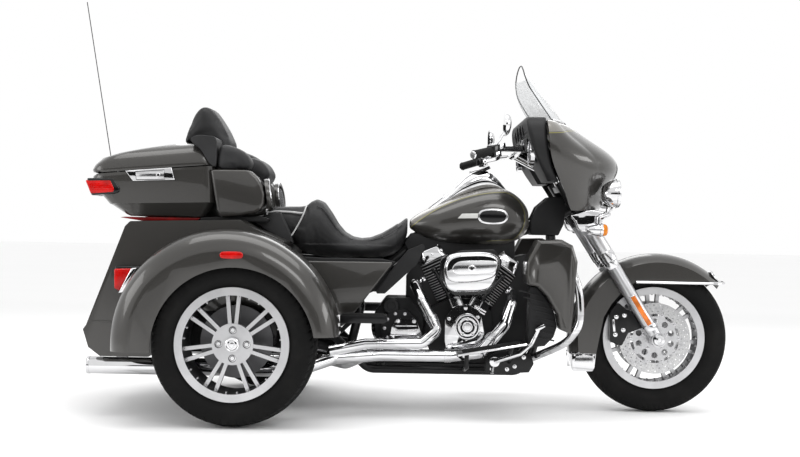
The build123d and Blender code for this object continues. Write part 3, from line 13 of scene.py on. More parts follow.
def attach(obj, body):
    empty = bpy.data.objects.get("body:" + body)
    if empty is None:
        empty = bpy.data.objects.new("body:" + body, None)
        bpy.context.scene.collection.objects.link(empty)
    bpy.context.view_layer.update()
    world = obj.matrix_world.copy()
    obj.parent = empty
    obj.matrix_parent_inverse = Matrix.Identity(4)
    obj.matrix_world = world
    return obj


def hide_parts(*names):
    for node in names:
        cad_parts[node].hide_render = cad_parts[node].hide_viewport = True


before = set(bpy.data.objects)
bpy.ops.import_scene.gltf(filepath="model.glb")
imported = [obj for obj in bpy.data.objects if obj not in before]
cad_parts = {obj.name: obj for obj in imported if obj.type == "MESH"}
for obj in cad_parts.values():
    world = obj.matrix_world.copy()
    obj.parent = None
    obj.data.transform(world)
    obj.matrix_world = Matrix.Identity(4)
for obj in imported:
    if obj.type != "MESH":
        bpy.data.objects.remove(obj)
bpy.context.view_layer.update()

bl_info = {
    "name": "Touring trike dresser",
    "version": (1, 0, 0),
    "blender": (4, 5, 0),
    "location": "View3D > Sidebar > Trike",
    "description": "Dresses the packed solids of a three-wheeled touring motorcycle",
    "category": "Object",
}

# Places shared by several pieces, in metres
AXLE_Z = 0.315
REAR_X, FRONT_X = -0.607, 1.096
REAR_Y = 0.565
TYRE_R = 0.315
FORK_ANGLE = radians(32.2)
FORK_Y = 0.122
CRANK = (0.285, 0.365)
CYLINDER_LEANS = (radians(-25), radians(35))
SIDES = (-1, 1)
# Front fender: centre in X and Z, radius, half width and crown
FRONT_FENDER = (1.105, 0.301, 0.371, 0.088, 0.036)


class Signal:
    """A shader socket that can be used in sums."""

    def __init__(self, shade, socket):
        self.shade, self.socket = shade, socket

    def _math(self, operation, *values):
        return self.shade.node("ShaderNodeMath", {"operation": operation}, *values)

    def __add__(self, other):
        return self._math("ADD", self, other)

    def __sub__(self, other):
        return self._math("SUBTRACT", self, other)

    def __mul__(self, other):
        return self._math("MULTIPLY", self, other)

    __radd__ = __add__
    __rmul__ = __mul__

    def __rsub__(self, other):
        return self._math("SUBTRACT", other, self)

    def __abs__(self):
        return self._math("ABSOLUTE", self)

    def root(self):
        return self._math("SQRT", self)

    def least(self, other):
        return self._math("MINIMUM", self, other)

    def most(self, other):
        return self._math("MAXIMUM", self, other)

    def wave(self):
        return self._math("SINE", self)

    def fade(self, start, end):
        """0 before start, 1 after end, smooth between."""
        settings = {"interpolation_type": "SMOOTHSTEP"}
        return self.shade.node("ShaderNodeMapRange", settings, self, start, end, 0.0, 1.0)


class Shade:
    """One material under construction."""

    def __init__(self, name):
        self.material = bpy.data.materials.get(name) or bpy.data.materials.new(name)
        self.material.use_nodes = True
        self.tree = self.material.node_tree
        self.tree.nodes.clear()
        self.output = self.tree.nodes.new("ShaderNodeOutputMaterial")
        self.bsdf = self.tree.nodes.new("ShaderNodeBsdfPrincipled")
        self.tree.links.new(self.bsdf.outputs[0], self.output.inputs[0])

    def node(self, kind, settings=None, *values, out=0, **named):
        """Adds a node, sets its settings first, then its sockets in order or by name."""
        made = self.tree.nodes.new(kind)
        for key, value in (settings or {}).items():
            if key == "stops":
                ramp = made.color_ramp
                for index, (place, colour) in enumerate(value):
                    if index > 1:
                        ramp.elements.new(place)
                    ramp.elements[index].position = place
                for index, (place, colour) in enumerate(sorted(value)):
                    ramp.elements[index].color = (*colour, 1)
            else:
                setattr(made, key, value)
        for socket, value in zip(made.inputs, values):
            self._put(socket, value)
        for key, value in named.items():
            self._put(made.inputs[key.replace("_", " ")], value)
        return Signal(self, made.outputs[out])

    def _put(self, socket, value):
        if value is None:
            return
        if isinstance(value, Signal):
            self.tree.links.new(value.socket, socket)
        elif isinstance(value, (tuple, list)) and len(value) == 3 and socket.type == "RGBA":
            socket.default_value = (*value, 1)
        else:
            socket.default_value = value

    def place(self):
        """X, Y and Z of the point in the object's own coordinates."""
        self.coords = self.node("ShaderNodeTexCoord", out=3)
        parts = self.tree.nodes.new("ShaderNodeSeparateXYZ")
        self.tree.links.new(self.coords.socket, parts.inputs[0])
        return tuple(Signal(self, parts.outputs[i]) for i in range(3))

    def noise(self, scale, detail=3.0, rough=0.5, distort=0.0, coords=None):
        coords = coords or self.node("ShaderNodeTexCoord", out=3)
        return self.node(
            "ShaderNodeTexNoise", None, Vector=coords, Scale=scale, Detail=detail, Roughness=rough,
            Distortion=distort,
        )

    def mix(self, factor, low, high):
        """Colour between low and high."""
        made = self.tree.nodes.new("ShaderNodeMix")
        made.data_type = "RGBA"
        sockets = [s for s in made.inputs if s.enabled]
        for socket, value in zip(sockets, (factor, low, high)):
            self._put(socket, value)
        return Signal(self, [s for s in made.outputs if s.enabled][0])

    def bump(self, height, strength, distance, normal=None):
        return self.node(
            "ShaderNodeBump", None, Strength=strength, Distance=distance, Height=height, Normal=normal,
        )

    def finish(self, **sockets):
        for key, value in sockets.items():
            self._put(self.bsdf.inputs[key.replace("_", " ")], value)
        return self.material


def arc_distance(x, z, cx, cz):
    """Distance from a point in the side view."""
    return ((x - cx) * (x - cx) + (z - cz) * (z - cz)).root()


def paint_base(shade, dark):
    """Metallic paint's base: flakes, faint orange peel and roughness that varies in soft clouds."""
    flecks = shade.noise(2400.0, 1.0, 0.5)
    cloud = shade.noise(3.0, 2.0, 0.5)
    light = tuple(min(1, c * 1.5 + 0.012) for c in dark)
    colour = shade.mix(flecks.fade(0.42, 0.70), dark, light)
    peel = shade.noise(420.0, 2.0, 0.5)
    rough = 0.27 + cloud * 0.05
    return colour, rough, shade.bump(peel, 0.03, 0.0004)


def material_paint(name="body_paint", dark=None, pattern=None):
    """Dark metallic paint under clear coat, with a lighter border and pinstripe where asked."""
    settings = bpy.context.scene.trike_paint
    dark = dark or tuple(settings.body_colour)
    light = tuple(settings.border_colour)
    stripe = tuple(settings.stripe_colour)
    shade = Shade(name)
    colour, rough, normal = paint_base(shade, dark)
    metallic = 0.45
    if pattern:
        border, line = pattern(*shade.place())
        border_colour, _, _ = paint_base(shade, light)
        colour = shade.mix(border, colour, border_colour)
        colour = shade.mix(line, colour, stripe)
    return shade.finish(
        Base_Color=colour, Roughness=rough, Metallic=metallic, Normal=normal,
        Coat_Weight=0.7, Coat_Roughness=0.04, Specular_IOR_Level=0.4,
    )


def tank_pattern(x, y, z):
    """Border along the top, front and bottom of the tank, and a pinstripe at its edge."""
    over = arc_distance(x, z, 0.4542, 0.3316) - 0.5874
    ahead = arc_distance(x, z, 0.4253, 0.8124) - 0.1104
    under = 0.7165 - z + (x - 0.42) * 0.07
    at_front = x.fade(0.4535, 0.4545)
    at_low = x.fade(0.335, 0.360)
    top = over.fade(0.0, 0.001) * (1 - at_front)
    border = top.most(ahead.fade(0.0, 0.001) * at_front).most(under.fade(0.0, 0.001) * at_low)
    line_top = (1 - abs(over).fade(0.0008, 0.0014)) * (1 - at_front)
    line_front = (1 - abs(ahead).fade(0.0008, 0.0014)) * at_front * (1 - under.fade(0.0, 0.001))
    line_low = (1 - abs(under).fade(0.0008, 0.0014)) * at_low * (1 - ahead.fade(0.0, 0.001))
    return border, line_top.most(line_front).most(line_low)


def fairing_pattern(x, y, z):
    """Lighter top panel under the screen, with a pinstripe."""
    rise = z - 1.187 + abs(y) * abs(y) * 0.25
    border = rise.fade(0.0, 0.001)
    line = 1 - abs(rise + 0.0035).fade(0.0008, 0.0014)
    return border, line


def material_chrome(name="chrome", tint=(0.74, 0.74, 0.75), rough=0.045, bands=0.25):
    """Polished metal; its bands stand in for the dark studio that real chrome mirrors."""
    shade = Shade(name)
    haze = shade.noise(9.0, 4.0, 0.6)
    fine = shade.noise(260.0, 2.0, 0.5)
    colour = shade.mix(haze.fade(0.35, 0.75), tint, tuple(c * 0.93 for c in tint))
    if bands:
        coords = shade.node("ShaderNodeMapping", Vector=shade.node("ShaderNodeTexCoord", out=3),
                            Scale=(3.0, 12.0, 24.0))
        band = shade.noise(1.0, 2.0, 0.45, 0.4, coords=coords)
        dark = band.fade(0.50, 0.53) * (1 - band.fade(0.57, 0.62))
        colour = shade.mix(dark * bands, colour, (0.035, 0.035, 0.04))
    return shade.finish(
        Base_Color=colour, Metallic=1.0, Roughness=rough + haze.fade(0.45, 0.8) * 0.05,
        Normal=shade.bump(fine, 0.012, 0.0002),
    )


def material_alloy(name="cast_alloy", tint=(0.62, 0.62, 0.63), rough=0.30):
    """Satin cast wheel metal with fine turning marks."""
    shade = Shade(name)
    grain = shade.noise(900.0, 2.0, 0.6)
    cloud = shade.noise(14.0, 3.0, 0.5)
    colour = shade.mix(cloud.fade(0.3, 0.7), tint, tuple(c * 0.88 for c in tint))
    return shade.finish(
        Base_Color=colour, Metallic=0.92, Roughness=rough + grain * 0.07,
        Normal=shade.bump(grain, 0.05, 0.0003),
    )


def material_disc():
    """Brushed disc steel, with turned rings."""
    shade = Shade("disc_steel")
    x, y, z = shade.place()
    far_front = arc_distance(x, z, FRONT_X, AXLE_Z)
    far_rear = arc_distance(x, z, REAR_X, AXLE_Z)
    rings = (far_front.least(far_rear) * 5200.0).wave()
    soft = shade.noise(30.0, 3.0, 0.6)
    colour = shade.mix(soft.fade(0.35, 0.65), (0.60, 0.60, 0.60), (0.50, 0.50, 0.51))
    return shade.finish(
        Base_Color=colour, Metallic=1.0, Roughness=0.26 + rings * 0.04, Normal=shade.bump(rings, 0.06,
                                                                                          0.0002),
    )


def material_black(name, tint, rough, bump_scale, strength, metallic=0.0, coat=0.0, shine=0.25):
    """Black finishes: satin coat on metal, crinkle coat, moulded plastic."""
    shade = Shade(name)
    grain = shade.noise(bump_scale, 3.0, 0.6)
    cloud = shade.noise(5.0, 3.0, 0.55)
    worn = tuple(min(1, c * 1.9 + 0.01) for c in tint)
    colour = shade.mix(cloud.fade(0.55, 0.85) * 0.5, tint, worn)
    return shade.finish(
        Base_Color=colour, Metallic=metallic, Roughness=rough + cloud * 0.08,
        Normal=shade.bump(grain, strength, 0.0005), Coat_Weight=coat, Coat_Roughness=0.1,
        Specular_IOR_Level=shine,
    )


def material_tyre():
    shade = Shade("tyre_rubber")
    x, y, z = shade.place()
    far = arc_distance(x, z, FRONT_X, AXLE_Z).least(arc_distance(x, z, REAR_X, AXLE_Z))
    fine = shade.noise(700.0, 2.0, 0.6)
    dust = shade.noise(10.0, 3.0, 0.6)
    ribs = (far * 2600.0).wave() * (1 - far.fade(0.268, 0.272)) * far.fade(0.232, 0.236)
    colour = shade.mix(dust.fade(0.4, 0.8) * 0.6, (0.006, 0.006, 0.006), (0.013, 0.0125, 0.012))
    return shade.finish(
        Base_Color=colour, Roughness=0.62 + dust * 0.15,
        Normal=shade.bump(fine * 0.5 + ribs * 0.4, 0.22, 0.0005), Specular_IOR_Level=0.10,
    )


def material_leather(name="seat_leather", tint=None, scale=620.0):
    """Grained vinyl with soft creases."""
    tint = tint or tuple(bpy.context.scene.trike_seat.leather_colour)
    shade = Shade(name)
    coords = shade.node("ShaderNodeTexCoord", out=3)
    cells = shade.node("ShaderNodeTexVoronoi", {"feature": "DISTANCE_TO_EDGE"}, Vector=coords, Scale=scale)
    fine = shade.noise(scale * 2.2, 2.0, 0.5, coords=coords)
    cloud = shade.noise(6.0, 3.0, 0.6, coords=coords)
    creases = shade.noise(38.0, 4.0, 0.6, 1.2, coords=coords)
    lines = cells.fade(0.0, 0.18)
    height = lines * 0.7 + fine * 0.2 + creases * 0.5
    colour = shade.mix(cloud.fade(0.35, 0.75), tint, tuple(c * 1.6 + 0.006 for c in tint))
    return shade.finish(
        Base_Color=colour, Roughness=0.46 + cloud * 0.12, Normal=shade.bump(height, 0.22, 0.0006),
        Specular_IOR_Level=0.28,
    )


def material_lens(name, tint, glow=0.0, depth=0.55):
    """Moulded lamp lens with fine optic ribs, glowing as much as asked; on the reflector, which is no lamp,
    the glow is painted light.
    """
    shade = Shade(name)
    x, y, z = shade.place()
    ribs = (z * 900.0).wave() * 0.5 + ((x + y) * 900.0).wave() * 0.5
    cloud = shade.noise(25.0, 2.0, 0.5)
    colour = shade.mix(cloud.fade(0.3, 0.7), tint, tuple(c * depth for c in tint))
    return shade.finish(
        Base_Color=colour, Roughness=0.08 + cloud * 0.04, Normal=shade.bump(ribs, 0.2, 0.0008),
        Coat_Weight=0.25, Coat_Roughness=0.03, Specular_IOR_Level=0.2, Emission_Color=colour,
        Emission_Strength=glow,
    )


def material_glass(name, tint, alpha, rough=0.02):
    """Thin clear plastic or glass."""
    shade = Shade(name)
    cloud = shade.noise(3.0, 2.0, 0.5)
    colour = shade.mix(cloud.fade(0.3, 0.7), tint, tuple(c * 0.94 for c in tint))
    shade.material.surface_render_method = "BLENDED"
    return shade.finish(
        Base_Color=colour, Roughness=rough, Alpha=alpha + cloud * 0.02, IOR=1.5,
        Coat_Weight=0.6, Coat_Roughness=0.02,
    )


def material_plain(name, tint, rough=0.4, metallic=0.0):
    """Small trim: a moulded or painted finish with faint grain."""
    shade = Shade(name)
    grain = shade.noise(500.0, 2.0, 0.5)
    cloud = shade.noise(8.0, 2.0, 0.5)
    colour = shade.mix(cloud.fade(0.3, 0.7), tint, tuple(c * 0.85 for c in tint))
    return shade.finish(
        Base_Color=colour, Roughness=rough + cloud * 0.06, Metallic=metallic, Normal=shade.bump(grain, 0.05,
                                                                                                0.0003),
    )


FINISHES = {
    # key: slot, maker and its settings
    "paint": ("paint", material_paint),
    "tank": ("paint", material_paint, "tank_paint", None, tank_pattern),
    "fairing": ("paint", material_paint, "fairing_paint", None, fairing_pattern),
    "chrome": ("chrome", material_chrome),
    "satin_chrome": ("chrome", material_chrome, "satin_chrome", (0.74, 0.74, 0.75), 0.16),
    "slider": ("chrome", material_chrome, "slider_metal", (0.60, 0.60, 0.61), 0.30, 0.0),
    "mirror": ("chrome", material_chrome, "mirror_glass", (0.90, 0.91, 0.92), 0.01),
    "alloy": ("cast_alloy", material_alloy),
    "dark_alloy": ("cast_alloy", material_alloy, "dark_alloy", (0.30, 0.30, 0.31), 0.4),
    "brake_grey": ("cast_alloy", material_alloy, "brake_grey", (0.17, 0.17, 0.175), 0.42),
    "bolt": ("chrome", material_alloy, "bolt_steel", (0.55, 0.55, 0.56), 0.22),
    "disc": ("disc_steel", material_disc),
    # name, tint, roughness, grain's scale and strength, metallic, coat
    "black_metal": (
        "black_metal", material_black, "black_metal", (0.006, 0.006, 0.0065), 0.28, 600.0, 0.05, 0.1, 0.15,
    ),
    "crinkle": (
        "black_metal", material_black, "crinkle_black", (0.007, 0.007, 0.0075), 0.42, 1500.0, 0.35, 0.2,
        0.05,
    ),
    "gloss_black": (
        "black_metal", material_black, "gloss_black", (0.005, 0.005, 0.0055), 0.12, 300.0, 0.01, 0.0, 0.3,
    ),
    "plastic": ("black_plastic", material_black, "black_plastic", (0.010, 0.010, 0.0105), 0.46, 1300.0,
                0.16),
    "rubber": ("black_plastic", material_black, "grip_rubber", (0.006, 0.006, 0.006), 0.62, 900.0, 0.14),
    "tyre": ("tyre_rubber", material_tyre),
    "leather": ("seat_leather", material_leather),
    "piping": ("seat_leather", material_leather, "silver_piping", (0.42, 0.42, 0.42), 900.0),
    # name, tint, glow
    "red": ("red_lens", material_lens, "red_lens", (0.52, 0.004, 0.003), 0.10),
    "dark_red": ("red_lens", material_lens, "dark_red_lens", (0.20, 0.004, 0.004), 0.02),
    "amber": ("red_lens", material_lens, "amber_lens", (0.85, 0.26, 0.01), 0.12),
    # The reflector is no lamp: its glow of 0.05 is painted light.
    "orange": ("red_lens", material_lens, "orange_reflector", (0.72, 0.19, 0.03), 0.05),
    # name, tint, opacity, roughness
    "clear": ("clear_screen", material_glass, "clear_lens", (0.95, 0.97, 1.0), 0.22, 0.01),
    "screen": ("clear_screen", material_glass, "clear_screen", (0.70, 0.72, 0.73), 0.34, 0.05),
    "white": ("paint", material_plain, "white_trim", (0.62, 0.62, 0.60), 0.35),
    "dial": ("black_plastic", material_plain, "dial_face", (0.03, 0.03, 0.033), 0.35),
    "dial_mark": ("black_plastic", material_plain, "dial_mark", (0.75, 0.75, 0.72), 0.4),
    "fin_edge": ("cast_alloy", material_plain, "fin_edge_metal", (0.36, 0.36, 0.365), 0.35, 0.2),
}
MADE = {}


def finish_of(key):
    """Makes a finish once and hands it out after that."""
    if key not in MADE:
        _, maker, *settings = FINISHES[key]
        MADE[key] = maker(*settings)
    return MADE[key]


def finished(obj, body, key, replaces=()):
    """Gives a piece its finish and body, with its faces smooth where they meet softly."""
    mesh = obj.data
    if not mesh.materials:
        mesh.materials.append(finish_of(key))
    mesh.shade_smooth()
    mesh.set_sharp_from_angle(angle=radians(38))
    if replaces:
        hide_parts(*replaces)
    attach(obj, body)
    return obj


def put(name, mesh):
    """A new object at the origin that holds this mesh."""
    obj = bpy.data.objects.new(name, mesh)
    bpy.context.scene.collection.objects.link(obj)
    return obj


def from_bmesh(name, bm, merge=0.00002):
    """Object from a bmesh, with doubles merged and faces turned outwards."""
    bmesh.ops.remove_doubles(bm, verts=bm.verts, dist=merge)
    bmesh.ops.recalc_face_normals(bm, faces=bm.faces)
    mesh = bpy.data.meshes.new(name)
    bm.to_mesh(mesh)
    bm.free()
    return put(name, mesh)


def shaped(name, bm, body, key, replaces=()):
    """Finished piece from a bmesh."""
    return finished(from_bmesh(name, bm), body, key, replaces)


def applied(obj):
    """Turns the modifiers' result into the object's own mesh."""
    bpy.context.view_layer.update()
    graph = bpy.context.evaluated_depsgraph_get()
    made = bpy.data.meshes.new_from_object(obj.evaluated_get(graph))
    obj.modifiers.clear()
    obj.data = made
    return obj


def dress(node, key, body, bevel=0.0012, segments=2, angle=28):
    """Copy of a CAD node with merged corners and rounded edges, which stands for it."""
    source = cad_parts[node]
    bm = bmesh.new()
    bm.from_mesh(source.data)
    bm.transform(source.matrix_world)
    bmesh.ops.remove_doubles(bm, verts=bm.verts, dist=0.00002)
    bmesh.ops.dissolve_degenerate(bm, edges=bm.edges, dist=0.00002)
    bmesh.ops.dissolve_limit(bm, angle_limit=radians(0.8), verts=bm.verts, edges=bm.edges)
    mesh = bpy.data.meshes.new(node + "_dressed")
    bm.to_mesh(mesh)
    bm.free()
    obj = put(node + "_dressed", mesh)
    if bevel:
        rounded(obj, bevel, segments, angle)
    obj.data.materials.clear()
    finished(obj, body, key, (node,))
    obj.data.set_sharp_from_angle(angle=radians(32))
    return obj


def ring(centre, u, v, radius, count, start=0.0):
    """Points round a circle spanned by two directions."""
    centre, u, v = Vector(centre), Vector(u), Vector(v)
    steps = [start + 2 * pi * i / count for i in range(count)]
    return [centre + u * (radius * cos(a)) + v * (radius * sin(a)) for a in steps]


def skin(bm, rings, closed=True, capped=True):
    """Joins rings of points into walls, with caps at the two ends."""
    rows = [[bm.verts.new(p) for p in points] for points in rings]
    for low, high in zip(rows, rows[1:]):
        count = len(low)
        for i in range(count if closed else count - 1):
            j = (i + 1) % count
            bm.faces.new((low[i], low[j], high[j], high[i]))
    if capped:
        bm.faces.new(rows[0][::-1])
        bm.faces.new(rows[-1])
    return rows


def bent_ellipse(wide, tall, power, count):
    """Points of an ellipse, squarer as the power falls below 1."""
    out = []
    for i in range(count):
        c, s = cos(2 * pi * i / count), sin(2 * pi * i / count)
        out.append((
            wide * abs(c) ** power * (1 if c > 0 else -1), tall * abs(s) ** power * (1 if s > 0 else -1),
        ))
    return out


def smooth_route(points, steps=8):
    """Catmull-Rom points through a route."""
    points = [Vector(p) for p in points]
    ends = [points[0] * 2 - points[1], *points, points[-1] * 2 - points[-2]]
    out = []
    for a, b, c, d in zip(ends, ends[1:], ends[2:], ends[3:]):
        out += [between(a, b, c, d, i / steps) for i in range(steps)]
    return out + [points[-1]]


def tube(bm, route, radius, count=12, end_radius=None, flat=1.0):
    """Round bar along a route, tapering where an end radius is given."""
    route = [Vector(p) for p in route]
    ahead = (route[1] - route[0]).normalized()
    side = ahead.orthogonal().normalized()
    rings = []
    for index, point in enumerate(route):
        a, b = route[max(index - 1, 0)], route[min(index + 1, len(route) - 1)]
        turned = (b - a).normalized()
        side = (side - turned * side.dot(turned)).normalized()
        share = index / (len(route) - 1)
        size = radius if end_radius is None else radius + (end_radius - radius) * share
        rings.append(ring(point, side, turned.cross(side) * flat, size, count))
    skin(bm, rings)


def lathe(bm, profile, centre, axis=(0, 1, 0), count=48):
    """Turns a profile of (along, radius) round an axis through a centre."""
    axis = Vector(axis).normalized()
    u = axis.orthogonal().normalized() if abs(axis.y) < 0.9 else Vector((1, 0, 0))
    v = axis.cross(u).normalized()
    centre = Vector(centre)
    rings = [ring(centre + axis * along, u, v, max(radius, 0.00001), count) for along, radius in profile]
    return skin(bm, rings)


def plate(bm, outline, to_point, thick):
    """Prism over an outline: to_point(u, v, depth) gives each corner's place."""
    low = [bm.verts.new(to_point(u, v, 0.0)) for u, v in outline]
    high = [bm.verts.new(to_point(u, v, thick)) for u, v in outline]
    bm.faces.new(low)
    bm.faces.new(high[::-1])
    for i in range(len(outline)):
        j = (i + 1) % len(outline)
        bm.faces.new((low[i], high[i], high[j], low[j]))


def rounded(obj, width, segments, angle):
    """Rounds the edges that are sharper than an angle in degrees."""
    rounding = obj.modifiers.new("edges", "BEVEL")
    rounding.width, rounding.segments, rounding.use_clamp_overlap = width, segments, True
    rounding.limit_method, rounding.angle_limit = "ANGLE", radians(angle)
    return applied(obj)


def subdivided(obj, levels):
    """Smooths a mesh by subdivision."""
    smooth = obj.modifiers.new("smooth", "SUBSURF")
    smooth.levels = smooth.render_levels = levels
    return applied(obj)


def as_mesh(name, bm):
    """Ends a bmesh and keeps its mesh for scattering."""
    mesh = bpy.data.meshes.new(name)
    bm.to_mesh(mesh)
    bm.free()
    return mesh


def side_plate(name, outline_mm, y_from, y_to, bevel, segments=3, both=True):
    """Side outline in millimetres as a prism with rounded edges, on one side or both."""
    bm = bmesh.new()
    outline = [(x / 1000, z / 1000) for x, z in outline_mm]
    for side in SIDES if both else (1,):
        plate(bm, outline, lambda u, v, d, s=side: (u, s * (y_from + d), v), y_to - y_from)
    return rounded(from_bmesh(name, bm), bevel, segments, 25)


def right_plate(name, outline_mm, y_from, y_to, bevel, segments):
    """A side plate on the right side alone."""
    piece = side_plate(name, outline_mm, y_from, y_to, bevel, segments, False)
    piece.data.transform(Matrix.Diagonal((1, -1, 1, 1)))
    piece.data.flip_normals()
    return piece


def between(a, b, c, d, t):
    """Catmull-Rom point between b and c."""
    slope, bend, twist = c - a, 2 * a - 5 * b + 4 * c - d, 3 * b - a - 3 * c + d
    return 0.5 * (2 * b + slope * t + bend * t * t + twist * t ** 3)


def curve_outline(points, steps=6):
    """Closed smooth outline through points in two numbers."""
    points = [Vector((*p, 0)) for p in points]
    out = []
    count = len(points)
    for i in range(count):
        a, b, c, d = (points[(i + k) % count] for k in (-1, 0, 1, 2))
        for s in range(steps):
            p = between(a, b, c, d, s / steps)
            out.append((p.x, p.y))
    return out


def rounded_box(bm, centre, size, turn=None):
    """Box for bevelling, turned by a matrix."""
    made = bmesh.ops.create_cube(bm, size=1.0)
    turn = turn.to_4x4() if turn else Matrix.Identity(4)
    move = Matrix.Translation(centre) @ turn @ Matrix.Diagonal((*size, 1))
    bmesh.ops.transform(bm, matrix=move, verts=made["verts"])


def bevelled(name, bm, width, segments=2, angle=30):
    """Object from a bmesh with its sharp edges rounded."""
    return rounded(from_bmesh(name, bm), width, segments, angle)


def bolt_mesh(radius, height):
    """One bolt head, pointing along Z, with a washer and a hex socket."""
    bm = bmesh.new()
    profile = [(0, radius * 1.35), (height * 0.2, radius * 1.35), (height * 0.22, radius)]
    profile += [(height * 0.8, radius), (height, radius * 0.78)]
    lathe(bm, profile, (0, 0, 0), (0, 0, 1), 14)
    lathe(bm, [(height * 0.995, radius * 0.45), (height * 0.6, radius * 0.45)], (0, 0, 0), (0, 0, 1), 6)
    bmesh.ops.recalc_face_normals(bm, faces=bm.faces)
    return as_mesh("bolt_head", bm)


def rib_mesh(name, centre, size):
    """Small bar with broken edges."""
    bm = bmesh.new()
    rounded_box(bm, centre, size)
    bmesh.ops.bevel(bm, geom=bm.edges[:], offset=0.001, segments=1, affect="EDGES")
    return as_mesh(name, bm)


def stud_mesh():
    """Raised stud of a speaker grille, pointing along Z."""
    bm = bmesh.new()
    lathe(bm, [(-0.002, 0.0018), (0.0003, 0.0022), (0.0012, 0.0016)], (0, 0, 0), (0, 0, 1), 8)
    return as_mesh("grille_stud", bm)


def stud_places(centre, axis, u, v, pitch, per_row, depth, fall, edge, power):
    """Rings of studs on a domed grille, whose height falls towards its edge."""
    places = []
    for row in range(1, 6):
        for i in range(row * per_row):
            a = 2 * pi * i / (row * per_row)
            r = pitch * row
            height = depth - fall * (r / edge) ** power
            places.append((centre + axis * height + u * r * cos(a) + v * r * sin(a), axis))
    return places


def circle_places(centre, radius, count, side, start=0.0):
    """Places in a circle in the side view, each a point and the direction across the machine."""
    x, y, z = centre
    turns = [2 * pi * (i + start) / count for i in range(count)]
    return [((x + radius * cos(a), y, z + radius * sin(a)), (0, side, 0)) for a in turns]


def scatter(name, places, item, body, key, scale=1.0):
    """Copies of an item at places, each a point and a direction, through Geometry Nodes."""
    mesh = bpy.data.meshes.new(name + "_points")
    mesh.from_pydata([tuple(p) for p, _ in places], [], [])
    facing = mesh.attributes.new("facing", "FLOAT_VECTOR", "POINT")
    for index, (_, direction) in enumerate(places):
        facing.data[index].vector = Vector(direction).normalized()
    obj = put(name, mesh)
    source = put(name + "_item", item)
    tree = bpy.data.node_groups.new(name + "_tree", "GeometryNodeTree")
    face = tree.interface
    face.new_socket("Geometry", in_out="INPUT", socket_type="NodeSocketGeometry")
    item_socket = face.new_socket("Item", in_out="INPUT", socket_type="NodeSocketObject")
    size_socket = face.new_socket("Size", in_out="INPUT", socket_type="NodeSocketFloat")
    finish_socket = face.new_socket("Finish", in_out="INPUT", socket_type="NodeSocketMaterial")
    face.new_socket("Geometry", in_out="OUTPUT", socket_type="NodeSocketGeometry")
    add, link = tree.nodes.new, tree.links.new
    enter, leave = add("NodeGroupInput"), add("NodeGroupOutput")
    read = add("GeometryNodeInputNamedAttribute")
    read.data_type = "FLOAT_VECTOR"
    read.inputs["Name"].default_value = "facing"
    turn = add("FunctionNodeAlignRotationToVector")
    turn.axis = "Z"
    info, on_points = add("GeometryNodeObjectInfo"), add("GeometryNodeInstanceOnPoints")
    real, paint = add("GeometryNodeRealizeInstances"), add("GeometryNodeSetMaterial")
    link(enter.outputs["Geometry"], on_points.inputs["Points"])
    link(enter.outputs["Item"], info.inputs["Object"])
    link(info.outputs["Geometry"], on_points.inputs["Instance"])
    link([s for s in read.outputs if s.enabled][0], turn.inputs["Vector"])
    link(turn.outputs[0], on_points.inputs["Rotation"])
    link(enter.outputs["Size"], on_points.inputs["Scale"])
    link(on_points.outputs[0], real.inputs[0])
    link(real.outputs[0], paint.inputs["Geometry"])
    link(enter.outputs["Finish"], paint.inputs["Material"])
    link(paint.outputs[0], leave.inputs[0])
    modifier = obj.modifiers.new("repeat", "NODES")
    modifier.node_group = tree
    modifier[item_socket.identifier] = source
    modifier[size_socket.identifier] = float(scale)
    modifier[finish_socket.identifier] = finish_of(key)
    applied(obj)
    bpy.data.objects.remove(source)
    return finished(obj, body, key)


def bolts(name, places, body, radius=0.005, height=0.004, key="bolt"):
    """Bolt heads at places, each a point and a direction."""
    return scatter(name, places, bolt_mesh(radius, height), body, key)


def fork_point(distance, y=0.0, fore=0.0):
    """Point on the fork's line, so far up the leg from the front axle."""
    up = (-sin(FORK_ANGLE), cos(FORK_ANGLE))
    ahead = (cos(FORK_ANGLE), sin(FORK_ANGLE))
    return Vector((FRONT_X + up[0] * distance + ahead[0] * fore, y,
                   AXLE_Z + up[1] * distance + ahead[1] * fore))


FORK_UP = Vector((-sin(FORK_ANGLE), 0, cos(FORK_ANGLE)))


def cylinder_point(lean, distance, fore=0.0, y=0.0):
    """Point on an engine cylinder's line, so far from the crank."""
    x = CRANK[0] + sin(lean) * distance + cos(lean) * fore
    return Vector((x, y, CRANK[1] + cos(lean) * distance - sin(lean) * fore))


class TrikePaint(bpy.types.PropertyGroup):
    body_colour: bpy.props.FloatVectorProperty(
        name="Body colour", description="Main paint", subtype="COLOR", size=3, min=0, max=1,
        default=(0.0340, 0.0322, 0.0296),
    )
    border_colour: bpy.props.FloatVectorProperty(
        name="Border colour", description="Lighter paint at the borders", subtype="COLOR", size=3, min=0,
        max=1,
        default=(0.160, 0.152, 0.138),
    )
    stripe_colour: bpy.props.FloatVectorProperty(
        name="Pinstripe colour", description="Thin line between the paints", subtype="COLOR", size=3, min=0,
        max=1,
        default=(0.26, 0.24, 0.05),
    )


class TrikeSeat(bpy.types.PropertyGroup):
    leather_colour: bpy.props.FloatVectorProperty(
        name="Seat colour", description="Seat cover", subtype="COLOR", size=3, min=0, max=1,
        default=(0.011, 0.011, 0.0115),
    )
    fullness: bpy.props.FloatProperty(
        name="Fullness", description="Pressure inside the padded pieces", default=4.0, min=0.0, max=10.0,
    )
    swell: bpy.props.FloatProperty(
        name="Swell", description="Most that a padded piece may swell", default=0.010, min=0.0, max=0.03,
        unit="LENGTH",
    )


